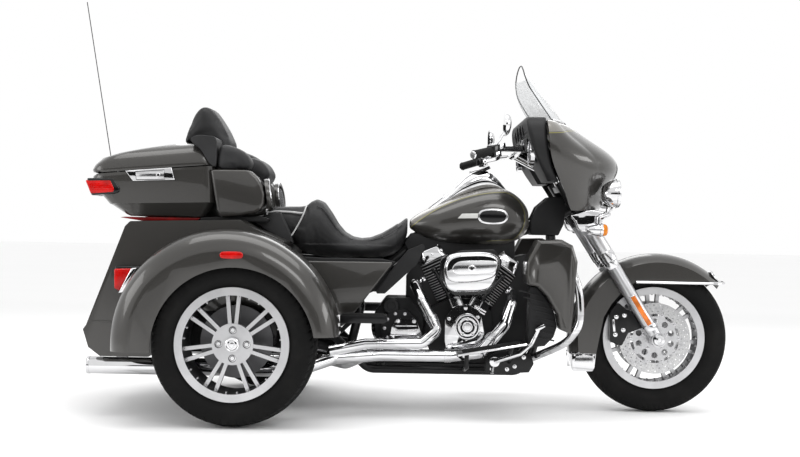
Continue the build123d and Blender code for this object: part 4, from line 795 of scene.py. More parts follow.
class TrikeWheels(bpy.types.PropertyGroup):
    tread_depth: bpy.props.FloatProperty(
        name="Tread depth", description="Depth of the tyre grooves", default=0.005, min=0.0, max=0.01,
        unit="LENGTH",
    )
    lug_radius: bpy.props.FloatProperty(
        name="Wheel nut radius", description="Radius of the rear wheel nuts", default=0.0095, min=0.004,
        max=0.014,
        unit="LENGTH",
    )
    fin_count: bpy.props.IntProperty(
        name="Cooling fins", description="Fins on each cylinder", default=16, min=8, max=30,
    )


class TrikeView(bpy.types.PropertyGroup):
    distance: bpy.props.FloatProperty(
        name="Camera distance", description="From the camera to the middle plane", default=5.05, min=1,
        max=20,
        unit="LENGTH",
    )
    height: bpy.props.FloatProperty(
        name="Camera height", description="Height above the floor", default=0.76, min=0, max=5,
        unit="LENGTH",
    )
    lens: bpy.props.FloatProperty(name="Lens", description="Focal length in mm", default=53.1, min=10,
                                  max=200)
    roll: bpy.props.FloatProperty(
        name="Roll", description="Turn about the line of sight", default=radians(1.0), subtype="ANGLE",
    )


def photo_camera(scene):
    """Camera at the viewpoint of the side view."""
    view = scene.trike_view
    camera = bpy.data.cameras.new("photo_camera")
    camera.lens, camera.sensor_width, camera.sensor_fit = view.lens, 36.0, "HORIZONTAL"
    camera.clip_end = 200
    seat = bpy.data.objects.new("photo_camera", camera)
    scene.collection.objects.link(seat)
    turn = Matrix.Rotation(radians(90), 4, "X") @ Matrix.Rotation(view.roll, 4, "Z")
    seat.matrix_world = Matrix.Translation((0.013, -view.distance, view.height)) @ turn
    scene.camera = seat


def pale_floor():
    """Floor of nine plates, finest round the machine."""
    bm = bmesh.new()
    grid = [(x, y) for x in (-30, -3, 3, 30) for y in (-20, -2, 2, 40)]
    points = {p: bm.verts.new((*p, 0.0)) for p in grid}
    for a, b in zip((-30, -3, 3), (-3, 3, 30)):
        for c, d in zip((-20, -2, 2), (-2, 2, 40)):
            bm.faces.new((points[a, c], points[b, c], points[b, d], points[a, d]))
    floor = from_bmesh("floor", bm)
    shade = Shade("pale_floor")
    cloud = shade.noise(0.7, 2.0, 0.5)
    floor.data.materials.append(
        shade.finish(Base_Color=shade.mix(cloud, (0.93, 0.93, 0.93), (0.96, 0.96, 0.96)), Roughness=0.75)
    )


def studio_lights(scene):
    """White world and soft lamps."""
    world = bpy.data.worlds.new("studio")
    scene.world = world
    world.use_nodes = True
    world.node_tree.nodes["Background"].inputs[0].default_value = (1, 1, 1, 1)
    world.node_tree.nodes["Background"].inputs[1].default_value = 1.0
    scene.view_settings.view_transform = "Standard"
    lights = (
        ("top_box", (0.0, -0.6, 3.6), (0.0, 0.0, 0.4), (4.6, 1.8), 68),
        ("front_box", (1.4, -4.2, 3.2), (0.2, 0.0, 0.5), (2.4, 1.0), 40),
        ("rear_strip", (-4.0, -1.6, 1.7), (-0.6, 0.0, 0.5), (1.2, 2.4), 26),
        ("nose_strip", (4.4, -1.2, 1.8), (0.6, 0.0, 0.6), (0.8, 2.4), 30),
        ("far_box", (0.0, 3.2, 2.8), (0.0, 0.0, 0.6), (3.5, 1.8), 34),
    )
    for name, place, aim, size, power in lights:
        lamp = bpy.data.lights.new(name, "AREA")
        lamp.shape, lamp.size, lamp.size_y, lamp.energy = "RECTANGLE", size[0], size[1], power
        obj = bpy.data.objects.new(name, lamp)
        scene.collection.objects.link(obj)
        obj.location = place
        obj.rotation_euler = (Vector(aim) - Vector(place)).to_track_quat("-Z", "Z").to_euler()


def dark_boards():
    """Dark boards on both sides, which polished metal mirrors and the camera doesn't see."""
    shade = Shade("dark_board")
    cloud = shade.noise(1.0, 2.0, 0.5)
    board_finish = shade.finish(
        Base_Color=shade.mix(cloud, (0.010, 0.010, 0.010), (0.014, 0.014, 0.014)), Roughness=0.9,
        Specular_IOR_Level=0.0,
    )
    for side in SIDES:
        bm = bmesh.new()
        rounded_box(bm, (0, side * 6.6, 1.05), (9.0, 0.02, 1.5))
        board = from_bmesh("dark_board_left" if side > 0 else "dark_board_right", bm)
        board.data.materials.append(board_finish)
        board.visible_camera = board.visible_diffuse = board.visible_shadow = False


class TRIKE_OT_stage(bpy.types.Operator):
    """Floor, lights and camera"""

    bl_idname = "trike.stage"
    bl_label = "Stage"

    def execute(self, context):
        photo_camera(context.scene)
        pale_floor()
        studio_lights(context.scene)
        dark_boards()
        return {"FINISHED"}


def treaded(bm, centre, width, rim_half, tread, count):
    """Tyre with its tread cut by a rule: tread(angle, y, across) gives the depth in metres."""
    half = width / 2
    bead, lip = 0.2033, 0.2185
    side = []
    for i in range(7):
        t = i / 6
        side.append((-rim_half - (half - rim_half) * sin(t * pi / 2) * 0.985,
                     lip + (TYRE_R - 0.060 - lip) * t))
    shoulder = []
    for i in range(1, 7):
        a = i / 6 * pi / 2
        shoulder.append((-(half * 0.985) + half * 0.125 * (1 - cos(a)), TYRE_R - 0.060 + 0.043 * sin(a)))
    edge = shoulder[-1][0]
    crown_rise = TYRE_R - shoulder[-1][1]
    crown = []
    steps = 26
    for i in range(1, steps):
        y = edge * (1 - 2 * i / steps)
        crown.append((y, TYRE_R - crown_rise * (y / edge) ** 2))
    left = [(-rim_half, bead), *side, *shoulder]
    profile = left + crown + [(-y, r) for y, r in reversed(left)]
    rings = []
    for y, radius in profile:
        row = []
        for i in range(count):
            angle = 2 * pi * i / count
            cut = tread(angle, y, abs(y) / half) if radius > TYRE_R - 0.045 else 0.0
            if 0.232 < radius < 0.262:
                cut -= 0.0006
            r = radius - cut
            row.append((centre[0] + r * cos(angle), centre[1] + y, centre[2] + r * sin(angle)))
        rings.append(row)
    rows = [[bm.verts.new(p) for p in row] for row in rings]
    rows.append(rows[0])
    for low, high in zip(rows, rows[1:]):
        for i in range(count):
            j = (i + 1) % count
            bm.faces.new((low[i], low[j], high[j], high[i]))


def tyres(scene):
    """Tyres whose tread is cut by rules of angle and width."""
    depth = scene.trike_wheels.tread_depth

    def front(angle, y, across):
        phase = (angle / (2 * pi) * 38 + abs(y) * 26 + (0.5 if y > 0 else 0)) % 1.0
        slot = phase < 0.13 and across > 0.22
        edge = phase > 0.5 and phase < 0.58 and across > 0.62
        return depth if slot or edge or abs(abs(y) - 0.004) < 0.0016 else 0.0

    def rear(angle, y, across):
        groove = any(abs(abs(y) - g) < 0.0048 for g in (0.022, 0.058))
        phase = (angle / (2 * pi) * 60 + abs(y) * 14 + (0.5 if y > 0 else 0)) % 1.0
        slot = phase < 0.17 and (across > 0.62 or 0.30 < across < 0.5)
        return depth if groove or slot else 0.0

    bm = bmesh.new()
    treaded(bm, (FRONT_X, 0, AXLE_Z), 0.130, 0.042, front, 456)
    shaped("front_tyre_tread", bm, "front_wheel", "tyre", ("front_tyre",))
    for side, word in ((1, "left"), (-1, "right")):
        bm = bmesh.new()
        treaded(bm, (REAR_X, side * REAR_Y, AXLE_Z), 0.205, 0.082, rear, 480)
        tyre = from_bmesh(f"rear_tyre_tread_{word}", bm)
        finished(tyre, f"rear_wheel_{word}", "tyre", (f"rear_tyre_{word}",))


class TRIKE_OT_tyres(bpy.types.Operator):
    """Three tyres with cut tread"""

    bl_idname = "trike.tyres"
    bl_label = "Tyres"

    def execute(self, context):
        tyres(context.scene)
        return {"FINISHED"}


def two_tone(obj, key, test):
    """Gives the faces whose centre passes a test a second finish."""
    obj.data.materials.append(finish_of(key))
    second = len(obj.data.materials) - 1
    for face in obj.data.polygons:
        if test(face.center, face.normal):
            face.material_index = second


def perforated(bm, centre, y, thick, loops):
    """Flat plate across the machine with holes: loops of points in X and Z, the first outside."""
    edges = []
    for loop in loops:
        verts = [bm.verts.new((centre[0] + u, y, centre[2] + v)) for u, v in loop]
        edges += [bm.edges.new((verts[i], verts[(i + 1) % len(verts)])) for i in range(len(verts))]
    made = bmesh.ops.triangle_fill(bm, use_beauty=True, use_dissolve=False, edges=edges)
    faces = [g for g in made["geom"] if isinstance(g, bmesh.types.BMFace)]
    more = bmesh.ops.extrude_face_region(bm, geom=faces)
    moved = [g for g in more["geom"] if isinstance(g, bmesh.types.BMVert)]
    bmesh.ops.translate(bm, vec=(0, thick, 0), verts=moved)


def circle_loop(cx, cz, radius, count):
    return [(cx + radius * cos(2 * pi * i / count),
             cz + radius * sin(2 * pi * i / count)) for i in range(count)]


def grey_sides_and_painted_shade(cx):
    """Picks the darker grey faces of a wheel: spoke sides that don't face outward, and painted shade on a
    rear wheel's nut ring and inboard part.
    """
    def test(centre, normal):
        far = hypot(centre.x - cx, centre.z - AXLE_Z)
        facing = abs(normal.y) if cx == FRONT_X else normal.y * (1 if centre.y > 0 else -1)
        # Painted shade: the ring round the nuts and the inboard part of a rear rim are darkened.
        if cx == REAR_X and 0.6160 < abs(centre.y) < 0.6288 and 0.030 < far < 0.070:
            return True
        if cx == REAR_X and abs(centre.y) < 0.530 and far < 0.1975:
            return True
        return 0.080 < far < 0.1975 and facing < 0.40

    return test


def front_rim():
    """Front rim with dark sides of its spokes."""
    front = dress("front_rim", "alloy", "front_wheel", 0.0022, 2)
    two_tone(front, "brake_grey", grey_sides_and_painted_shade(FRONT_X))
    front.data.set_sharp_from_angle(angle=radians(14))


def front_discs():
    """Drilled discs with their carriers and pins."""
    centre = (FRONT_X, 0, AXLE_Z)
    for side in SIDES:
        word = "left" if side > 0 else "right"
        bm = bmesh.new()
        loops = [circle_loop(0, 0, 0.150, 72), circle_loop(0, 0, 0.104, 60)]
        for row, radius in enumerate((0.114, 0.127, 0.140)):
            for i in range(30):
                a = 2 * pi * (i + row / 3) / 30
                loops.append(circle_loop(radius * cos(a), radius * sin(a), 0.0028, 8))
        perforated(bm, centre, side * 0.0625, side * 0.005, loops)
        shaped(f"front_disc_{word}", bm, "front_wheel", "disc")
        bm = bmesh.new()
        outer = []
        for i in range(10):
            a = 2 * pi * i / 10
            for turn, radius in ((-0.14, 0.094), (-0.10, 0.106), (0.10, 0.106), (0.14, 0.094)):
                outer.append((radius * cos(a + turn), radius * sin(a + turn)))
        loops = [outer, circle_loop(0, 0, 0.0365, 40)]
        loops += [circle_loop(0.071 * cos(a), 0.071 * sin(a), 0.013,
                              14) for a in (2 * pi * (i + 0.5) / 10 for i in range(10))]
        perforated(bm, centre, side * 0.0635, side * 0.006, loops)
        carrier = shaped(f"front_disc_carrier_{word}", bm, "front_wheel", "alloy")
        if side > 0:
            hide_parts("front_discs")
        pins = circle_places((FRONT_X, side * 0.0685, AXLE_Z), 0.101, 10, side)
        pins += circle_places((FRONT_X, side * 0.0690, AXLE_Z), 0.050, 5, side, 0.25)
        bolts(f"front_disc_pins_{word}", pins, "front_wheel", 0.0055, 0.003)


def front_rim_ribs():
    """Small ribs inside the front rim."""
    notches = [
        ((FRONT_X + 0.190 * cos(a), side * 0.036, AXLE_Z + 0.190 * sin(a)), (-cos(a), 0, -sin(a)))
        for a in (2 * pi * i / 35 for i in range(35)) for side in SIDES
    ]
    item = rib_mesh("notch", (0, 0, 0.004), (0.007, 0.012, 0.010))
    scatter("front_rim_ribs", notches, item, "front_wheel", "alloy")


def rear_wheels(scene):
    """Rear rims with nuts, caps and ribs."""
    for side, word in ((1, "left"), (-1, "right")):
        body = f"rear_wheel_{word}"
        rim = dress(f"rear_rim_{word}", "alloy", body, 0.0022, 2)
        # The darker grey is partly the spokes' own finish and partly painted shade round the nuts and
        # inboard.
        two_tone(rim, "brake_grey", grey_sides_and_painted_shade(REAR_X))
        rim.data.set_sharp_from_angle(angle=radians(14))
        face = side * (REAR_Y + 0.048 + 0.0045)
        places = circle_places((REAR_X, face, AXLE_Z), 0.053, 4, side)
        bolts(f"rear_nuts_{word}", places, body, scene.trike_wheels.lug_radius, 0.011, "satin_chrome")
        bm = bmesh.new()
        y = side * (REAR_Y + 0.048 + 0.030)
        profile = [(0, 0.027), (0.002, 0.0265), (0.0035, 0.024), (0.0022, 0.022), (0.0022, 0.019),
                   (0.0040, 0.018)]
        profile += [(0.0052, 0.013), (0.0035, 0.012), (0.0035, 0.009), (0.0055, 0.008), (0.0062, 0.0)]
        lathe(bm, profile, (REAR_X, y, AXLE_Z), (0, side, 0), 40)
        shaped(f"rear_cap_{word}", bm, body, "chrome")
        marks = [
            ((REAR_X + 0.190 * cos(a), side * 0.628, AXLE_Z + 0.190 * sin(a)), (-cos(a), 0, -sin(a)))
            for a in (2 * pi * (i + 0.5) / 28 for i in range(28))
        ]
        item = rib_mesh("rib", (0, 0, 0.005), (0.006, 0.022, 0.014))
        scatter(f"rear_rim_ribs_{word}", marks, item, body, "alloy")


def brakes_and_axle():
    """Wheel liners, rear axle and calipers."""
    liner = [(-930, 262), (-930, 436), (-340, 436), (-340, 262)]
    finished(side_plate("wheel_liners", liner, 0.398, 0.410, 0.003), "chassis", "plastic")
    dress("rear_calipers", "black_metal", "chassis", 0.003, 2)
    dress("rear_axle", "crinkle", "chassis", 0.003, 2)
    dress("front_calipers", "black_metal", "steering", 0.003, 3)
    places = []
    for side in SIDES:
        for x, z in ((0.925, 0.330), (0.928, 0.405), (0.958, 0.350), (0.962, 0.412)):
            places.append(((x, side * 0.0938, z), (0, side, 0)))
    bolts("front_caliper_bolts", places, "steering", 0.007, 0.005, "chrome")
    bm = bmesh.new()
    for side in SIDES:
        rounded_box(bm, (0.918, side * 0.0945, 0.368), (0.010, 0.004, 0.052),
                    Matrix.Rotation(radians(-6), 3, "Y"))
    finished(bevelled("front_caliper_strips", bm, 0.0015), "steering", "satin_chrome")


class TRIKE_OT_wheels(bpy.types.Operator):
    """Cast wheels, nuts, caps, discs and calipers"""

    bl_idname = "trike.wheels"
    bl_label = "Wheels and brakes"

    def execute(self, context):
        front_rim()
        front_discs()
        front_rim_ribs()
        rear_wheels(context.scene)
        brakes_and_axle()
        return {"FINISHED"}


def fin_rim(centre, normal):
    """Picks the machined rims of the fins."""
    lean = CYLINDER_LEANS[0 if centre.x < CRANK[0] else 1]
    return abs(normal.dot(Vector((sin(lean), 0, cos(lean))))) < 0.9


def near_plate(name, key, points, y_from, y_to, bevel, steps=5, replaces=()):
    """Rounded plate on the right side, from a side outline in millimetres."""
    outline = curve_outline([(x / 1000, z / 1000) for x, z in points], 4)
    outline = [(x * 1000, z * 1000) for x, z in outline]
    return finished(right_plate(name, outline, y_from, y_to, bevel, steps), "chassis", key, replaces)


def inner_covers():
    """Dark covers that show through gaps round the engine."""
    back = [(43, 262), (43, 560), (100, 640), (215, 640), (240, 400), (220, 262)]
    front = [(343, 262), (394, 396), (430, 560), (470, 640), (545, 660), (620, 640), (640, 500), (632, 400),
             (560, 262)]
    finished(side_plate("inner_covers_rear", back, 0.018, 0.050, 0.006), "chassis", "plastic")
    finished(side_plate("inner_covers_front", front, 0.018, 0.050, 0.006), "chassis", "plastic")


def cylinders(scene):
    """Cores of the two cylinders and their fins."""
    bm = bmesh.new()
    for lean in CYLINDER_LEANS:
        up = cylinder_point(lean, 1.0) - cylinder_point(lean, 0.0)
        profile = [(0.1285, 0.046), (0.292, 0.046)]
        lathe(bm, profile, cylinder_point(lean, 0.0), up, 32)
    tube(bm, smooth_route([(0.20, 0, 0.590), (0.29, 0, 0.612), (0.40, 0, 0.590)], 6), 0.019, 14)
    lathe(bm, [(-0.075, 0.030), (0.015, 0.030)], (0.290, 0, 0.600), (0, 1, 0), 28)
    core = from_bmesh("cylinder_cores", bm)
    finished(core, "chassis", "crinkle", ("cylinders",))
    for size, key, names, first, last in (
        ((0.124, 0.150), "crinkle", "barrel_fins", 0.130, 0.230),
        ((0.132, 0.146), "crinkle", "head_fins", 0.238, 0.291),
    ):
        bm = bmesh.new()
        corner = 0.030
        outline = []
        for cx, cy, start in ((1, 1, 0), (-1, 1, 90), (-1, -1, 180), (1, -1, 270)):
            for k in range(7):
                a = radians(start + 15 * k)
                outline.append((
                    cx * (size[0] / 2 - corner) + corner * cos(a),
                    cy * (size[1] / 2 - corner) + corner * sin(a),
                ))
        plate(bm, outline, lambda u, v, d: (u, v, d), 0.0030)
        bmesh.ops.recalc_face_normals(bm, faces=bm.faces)
        edges = [e for e in bm.edges if abs(e.verts[0].co.z - e.verts[1].co.z) < 1e-6]
        bmesh.ops.bevel(bm, geom=edges, offset=0.0005, segments=1, affect="EDGES")
        item = as_mesh(names, bm)
        count = round(scene.trike_wheels.fin_count * (last - first) / 0.163)
        places = []
        for lean in CYLINDER_LEANS:
            up = cylinder_point(lean, 1.0) - cylinder_point(lean, 0.0)
            for i in range(count):
                places.append((cylinder_point(lean, first + (last - first - 0.003) * i / (count - 1)), up))
        made = scatter(names, places, item, "chassis", key)
        two_tone(made, "fin_edge", fin_rim)


def engine_cases():
    """Cast cases and bright covers."""
    dress("crankcase", "crinkle", "chassis", 0.004, 3)
    dress("gearbox", "crinkle", "chassis", 0.004, 3)
    dress("rocker_covers", "chrome", "chassis", 0.005, 3)
    dress("engine_covers", "chrome", "chassis", 0.005, 3)
    dress("primary_cover", "chrome", "chassis", 0.002, 2)
    dress("air_cleaner_backplate", "gloss_black", "chassis", 0.006, 3)


def rocker_bolts():
    """Bolts on the rocker covers."""
    places = []
    for lean in CYLINDER_LEANS:
        for fore in (-0.050, 0.050):
            for y in (-0.060, 0.060):
                top = cylinder_point(lean, 0.3445, fore * 0.72, y * 0.95)
                places.append((top, cylinder_point(lean, 1.0) - cylinder_point(lean, 0.0)))
        for fore in (-0.040, 0.0, 0.040):
            place = cylinder_point(lean, 0.318, fore, -0.0815)
            places.append((place, (0, -1, 0.2)))
    bolts("rocker_bolts", places, "chassis", 0.0055, 0.004, "chrome")


def pushrod_tubes():
    """Two tubes with their collars beside each cylinder."""
    bm = bmesh.new()
    for lean in CYLINDER_LEANS:
        for offset in (-0.014, 0.014):
            low = cylinder_point(lean * 0.8, 0.118, offset, -0.130)
            high = cylinder_point(lean, 0.262, offset * 1.4, -0.079)
            run = [low.lerp(high, t / 10) for t in range(11)]
            tube(bm, run, 0.0085, 16)
            for t, radius, length in ((0.02, 0.0135, 0.022), (0.30, 0.0115, 0.008), (0.9, 0.012, 0.016)):
                mid = low.lerp(high, t)
                lathe(bm, [(0, radius * 0.9), (0.002, radius), (length - 0.002, radius),
                           (length, radius * 0.9)],
                      mid, (high - low), 18)
    shaped("pushrod_tubes", bm, "chassis", "gloss_black")


def air_cleaner():
    """Air cleaner's shell, face, panel and trim."""
    rim = [(190, 606), (206, 650), (240, 666), (292, 671), (352, 672), (398, 664), (417, 640), (414, 600),
           (399, 556),
           (376, 524), (340, 512), (280, 509), (222, 512), (196, 536), (188, 570)]
    near_plate("air_cleaner_shell", "chrome", rim, 0.262, 0.314, 0.016, 5, ("air_cleaner_cover",))
    face = [(196, 604), (210, 644), (242, 661), (292, 666), (352, 667), (394, 659), (411, 638), (408, 604),
            (394, 574),
            (350, 556), (290, 547), (232, 548), (202, 566)]
    near_plate("air_cleaner_face", "chrome", face, 0.300, 0.331, 0.013, 5)
    oval = [(226, 603), (240, 624), (268, 633), (330, 636), (378, 636), (402, 628), (400, 606), (386, 590),
            (330, 582),
            (262, 577), (234, 584)]
    near_plate("air_cleaner_panel", "satin_chrome", oval, 0.329, 0.3322, 0.0008, 2)
    bm = bmesh.new()
    outline = curve_outline([(x / 1000, z / 1000) for x, z in oval], 5)
    tube_route = [Vector((u, -0.3322, v)) for u, v in outline]
    tube(bm, tube_route + [tube_route[0]], 0.0017, 8)
    lathe(bm, [(0, 0.015), (0.003, 0.015), (0.0048, 0.012), (0.0048, 0.0065), (0.0025, 0.006),
               (0.0025, 0.0)],
          (0.303, -0.3318, 0.605), (0, -1, 0), 28)
    shaped("air_cleaner_trim", bm, "chassis", "chrome")


def right_covers():
    """Rings, blocks and bolts of the right covers."""
    bm = bmesh.new()
    y = -0.2003
    for along, outer, inner in ((0.004, 0.052, 0.046), (0.006, 0.040, 0.030), (0.004, 0.022, 0.016)):
        lathe(bm, [(0, outer), (along * 0.8, outer), (along, outer - 0.001), (along, inner),
                   (0, inner - 0.0005)],
              (0.297, y, 0.360), (0, -1, 0), 48)
    lathe(bm, [(0, 0.0165), (0.0045, 0.0165), (0.0058, 0.0150), (0.0064, 0.0)], (0.297, y, 0.360),
          (0, -1, 0), 40)
    shaped("timer_lid_rings", bm, "chassis", "satin_chrome")
    bm = bmesh.new()
    for x, z, lean in ((0.262, 0.432, -9), (0.350, 0.428, 29)):
        turn = Matrix.Rotation(radians(lean), 3, "Y")
        for shift in (-0.0055, 0.0055):
            middle = Vector((x, -0.150, z)) + turn @ Vector((0, 0, shift))
            rounded_box(bm, middle, (0.052, 0.050, 0.0085), turn)
    finished(bevelled("tappet_blocks", bm, 0.002, 3), "chassis", "chrome")
    places = circle_places((0.297, y - 0.0055, 0.360), 0.0345, 5, -1, 0.25)
    places += [((x, -0.1805, z), (0, -1, 0)) for x, z in
               ((0.222, 0.268), (0.322, 0.262), (0.350, 0.330), (0.340, 0.400), (0.290, 0.436),
                (0.222, 0.392))]
    places += [((x, -0.1795, z), (0, -1, 0)) for x, z in ((-0.008, 0.308), (0.096, 0.310), (0.012, 0.378),
                                                          (0.078, 0.378))]
    bolts("cover_bolts", places, "chassis", 0.0058, 0.004, "chrome")


def gearbox_trims():
    """Ribs, cap and bolts of gearbox and primary."""
    bm = bmesh.new()
    for z in (0.322, 0.340, 0.358):
        rounded_box(bm, (0.045, -0.1800, z), (0.088, 0.003, 0.005))
    finished(bevelled("gearbox_cover_ribs", bm, 0.001), "chassis", "satin_chrome")
    bm = bmesh.new()
    lathe(bm, [(0, 0.034), (0.030, 0.034), (0.036, 0.030), (0.037, 0.018), (0.034, 0.016), (0.034, 0.0)],
          (-0.018, -0.105, 0.437), (0, -1, 0), 40)
    shaped("starter_cap", bm, "chassis", "plastic")
    places = circle_places((0.020, -0.1455, 0.345), 0.064, 10, -1)
    bolts("gearbox_bolts", places, "chassis", 0.005, 0.004, "bolt")
    places = circle_places((0.285, 0.1932, 0.338), 0.060, 6, 1)
    places += circle_places((0.000, 0.1932, 0.331), 0.075, 7, 1)
    bolts("primary_bolts", places, "chassis", 0.005, 0.004, "chrome")


class TRIKE_OT_engine(bpy.types.Operator):
    """Finned cylinders, covers, pushrod tubes and the air cleaner"""

    bl_idname = "trike.engine"
    bl_label = "Engine"

    def execute(self, context):
        inner_covers()
        cylinders(context.scene)
        engine_cases()
        rocker_bolts()
        pushrod_tubes()
        air_cleaner()
        right_covers()
        gearbox_trims()
        return {"FINISHED"}


def exhaust_pipes():
    """Pipes with clamps, and mufflers with their tips."""
    dress("exhaust", "chrome", "chassis", 0.0)
    dress("mufflers", "chrome", "chassis", 0.002, 2)
    bm = bmesh.new()
    for centre, axis, radius in (
        ((-0.10, -0.262, 0.246), (1, 0.02, 0), 0.0262), ((0.215, -0.2515, 0.246), (1, 0, 0), 0.0262),
        ((-0.06, -0.288, 0.293), (1, 0.05, 0.03), 0.0232), ((0.150, -0.2585, 0.394), (0.45, -0.18, -0.87),
                                                            0.0232),
        ((0.395, -0.213, 0.314), (0.67, 0.17, 0.72), 0.0262),
    ):
        for shift in (-0.010, 0.0, 0.010):
            middle = Vector(centre) + Vector(axis).normalized() * shift
            lathe(bm, [(-0.003, radius), (-0.002, radius + 0.0018), (0.002, radius + 0.0018),
                       (0.003, radius)],
                  middle, axis, 32)
        lathe(bm, [(-0.013, radius - 0.0003), (-0.013, radius + 0.0006), (0.013, radius + 0.0006),
                   (0.013, radius - 0.0003)],
              centre, axis, 32)
    shaped("exhaust_clamps", bm, "chassis", "satin_chrome")
    bm = bmesh.new()
    for side in SIDES:
        lathe(bm, [(0, 0.0345), (-0.004, 0.0350), (-0.010, 0.0350), (-0.012, 0.0342)],
              (-1.200, side * 0.388, 0.200), (1, 0, 0), 40)
        lathe(bm, [(0, 0.0290), (0.0, 0.0240), (0.070, 0.0235), (0.070, 0.0)],
              (-1.190, side * 0.388, 0.200), (1, 0, 0), 32)
    shaped("muffler_tips", bm, "chassis", "satin_chrome")


class TRIKE_OT_exhaust(bpy.types.Operator):
    """Pipes, clamps, mufflers and their tips"""

    bl_idname = "trike.exhaust"
    bl_label = "Exhaust"

    def execute(self, context):
        exhaust_pipes()
        return {"FINISHED"}


def frame_and_boards():
    """Frame, ribbed boards and their brackets."""
    dress("frame", "black_metal", "chassis", 0.001, 1)
    dress("plate_holder", "black_metal", "chassis", 0.0008, 1)
    dress("floorboards", "black_metal", "chassis", 0.002, 2)
    dress("brake_pedal", "chrome", "chassis", 0.002, 2)
    bm = bmesh.new()
    for side in SIDES:
        for i in range(9):
            y = side * (0.302 + 0.011 * i)
            low = Vector((0.262, y, 0.2731))
            high = Vector((0.508, y, 0.3164))
            middle = (low + high) / 2
            rounded_box(bm, middle, (0.236, 0.005, 0.005), Matrix.Rotation(-atan2(0.0433, 0.246), 3, "Y"))
        for i in range(8):
            y = side * (0.309 + 0.0115 * i)
            rounded_box(bm, (-0.128, y, 0.4160), (0.165, 0.005, 0.0045))
    finished(bevelled("board_ribs", bm, 0.0012), "chassis", "rubber")
    bm = bmesh.new()
    for side in SIDES:
        edge = [(0.249, 0.2640), (0.300, 0.2730), (0.410, 0.2925), (0.521, 0.3120)]
        tube(bm, [Vector((x, side * 0.401, z)) for x, z in edge], 0.0052, 8)
    shaped("board_edges", bm, "chassis", "chrome")
    bracket = [(372, 226), (398, 250), (431, 266), (493, 272), (560, 250), (572, 214), (552, 178),
               (440, 172), (372, 176)]
    finished(side_plate("board_bracket_plates", bracket, 0.198, 0.209, 0.003), "chassis", "black_metal")
    places = [((x, side * 0.209, z), (0, side, 0)) for side in SIDES for x, z in
              ((0.399, 0.222), (0.469, 0.226), (0.493, 0.202), (0.462, 0.190), (0.400, 0.190),
               (0.530, 0.240))]
    bolts("board_bracket_bolts", places, "chassis", 0.0062, 0.005, "chrome")


class TRIKE_OT_frame(bpy.types.Operator):
    """Frame tubes, boards, pedal and the plate holder"""

    bl_idname = "trike.frame"
    bl_label = "Frame and boards"

    def execute(self, context):
        frame_and_boards()
        return {"FINISHED"}


def bolster(bm, outline, y_low, y_high, round_by, steps=5, belly=0.0):
    """Side outline in metres swept across Y, with round shoulders and a slight belly."""
    centre = Vector((sum(p[0] for p in outline) / len(outline), sum(p[1] for p in outline) / len(outline)))
    count = len(outline)
    normals = []
    for i in range(count):
        a, b = Vector(outline[i - 1]), Vector(outline[(i + 1) % count])
        edge = (b - a).normalized()
        out = Vector((edge.y, -edge.x))
        if out.dot(Vector(outline[i]) - centre) < 0:
            out.negate()
        normals.append(out)
    rows = []
    lows = [(y_low + round_by * (1 - cos(pi / 2 * k / steps)),
             round_by * (1 - sin(pi / 2 * k / steps))) for k in range(steps + 1)]
    highs = [(y_high - (y - y_low), inset) for y, inset in reversed(lows)]
    middle = (y_low + y_high) / 2
    half = (y_high - y_low) / 2
    inner = [(middle + half * t, -belly * (1 - t * t)) for t in (-0.5, 0.0,
                                                                 0.5)] if half > round_by * 1.3 else []
    for y, inset in lows + inner + highs:
        rows.append([
            Vector((p[0] - n.x * inset, y, p[1] - n.y * inset)) for p, n in zip(outline, normals)
        ])
    skin(bm, rows)


def puffed(obj, scene, voxel=0.006, cap=None, keep=None):
    """Swells a padded piece with a short cloth run, capped, then smooths it."""
    cap = cap or scene.trike_seat.swell
    remesh = obj.modifiers.new("even", "REMESH")
    remesh.mode, remesh.voxel_size = "VOXEL", voxel
    applied(obj)
    before = [v.co.copy() for v in obj.data.vertices]
    cloth = obj.modifiers.new("cloth", "CLOTH")
    cloth.settings.use_pressure = True
    cloth.settings.uniform_pressure_force = scene.trike_seat.fullness
    cloth.settings.effector_weights.gravity = 0
    cloth.settings.quality = 5
    cloth.point_cache.frame_start, cloth.point_cache.frame_end = 1, 16
    for number in range(1, 17):
        scene.frame_set(number)
    applied(obj)
    scene.frame_set(1)
    for vertex, old in zip(obj.data.vertices, before):
        move = vertex.co - old
        if move.length > cap:
            move = move.normalized() * cap
        if keep:
            move = move * keep(old)
        vertex.co = old + move
    return subdivided(obj, 1)


SEAT_ROWS = (
    # x, low z, high z, half width, squareness, dip in the middle of the top
    (-0.556, 0.760, 0.822, 0.150, 3.4, 0.000),
    (-0.545, 0.748, 0.829, 0.160, 3.4, 0.000),
    (-0.510, 0.734, 0.838, 0.166, 3.6, 0.002),
    (-0.450, 0.708, 0.841, 0.172, 3.8, 0.003),
    (-0.405, 0.662, 0.842, 0.174, 3.8, 0.003),
    (-0.378, 0.650, 0.846, 0.174, 3.6, 0.002),
    (-0.362, 0.644, 0.862, 0.173, 3.2, 0.000),
    (-0.340, 0.640, 0.872, 0.171, 3.0, 0.000),
    (-0.312, 0.634, 0.861, 0.171, 3.0, 0.000),
    (-0.283, 0.632, 0.822, 0.172, 3.0, 0.003),
    (-0.255, 0.631, 0.777, 0.173, 3.0, 0.006),
    (-0.225, 0.631, 0.744, 0.174, 3.0, 0.008),
    (-0.190, 0.631, 0.725, 0.174, 2.9, 0.009),
    (-0.150, 0.631, 0.718, 0.172, 2.8, 0.009),
    (-0.110, 0.632, 0.721, 0.166, 2.7, 0.007),
    (-0.062, 0.636, 0.737, 0.150, 2.6, 0.004),
    (-0.015, 0.646, 0.763, 0.124, 2.5, 0.001),
    (0.020, 0.672, 0.792, 0.100, 2.4, 0.000),
    (0.036, 0.712, 0.806, 0.088, 2.4, 0.000),
    (0.044, 0.742, 0.806, 0.078, 2.4, 0.000),
)


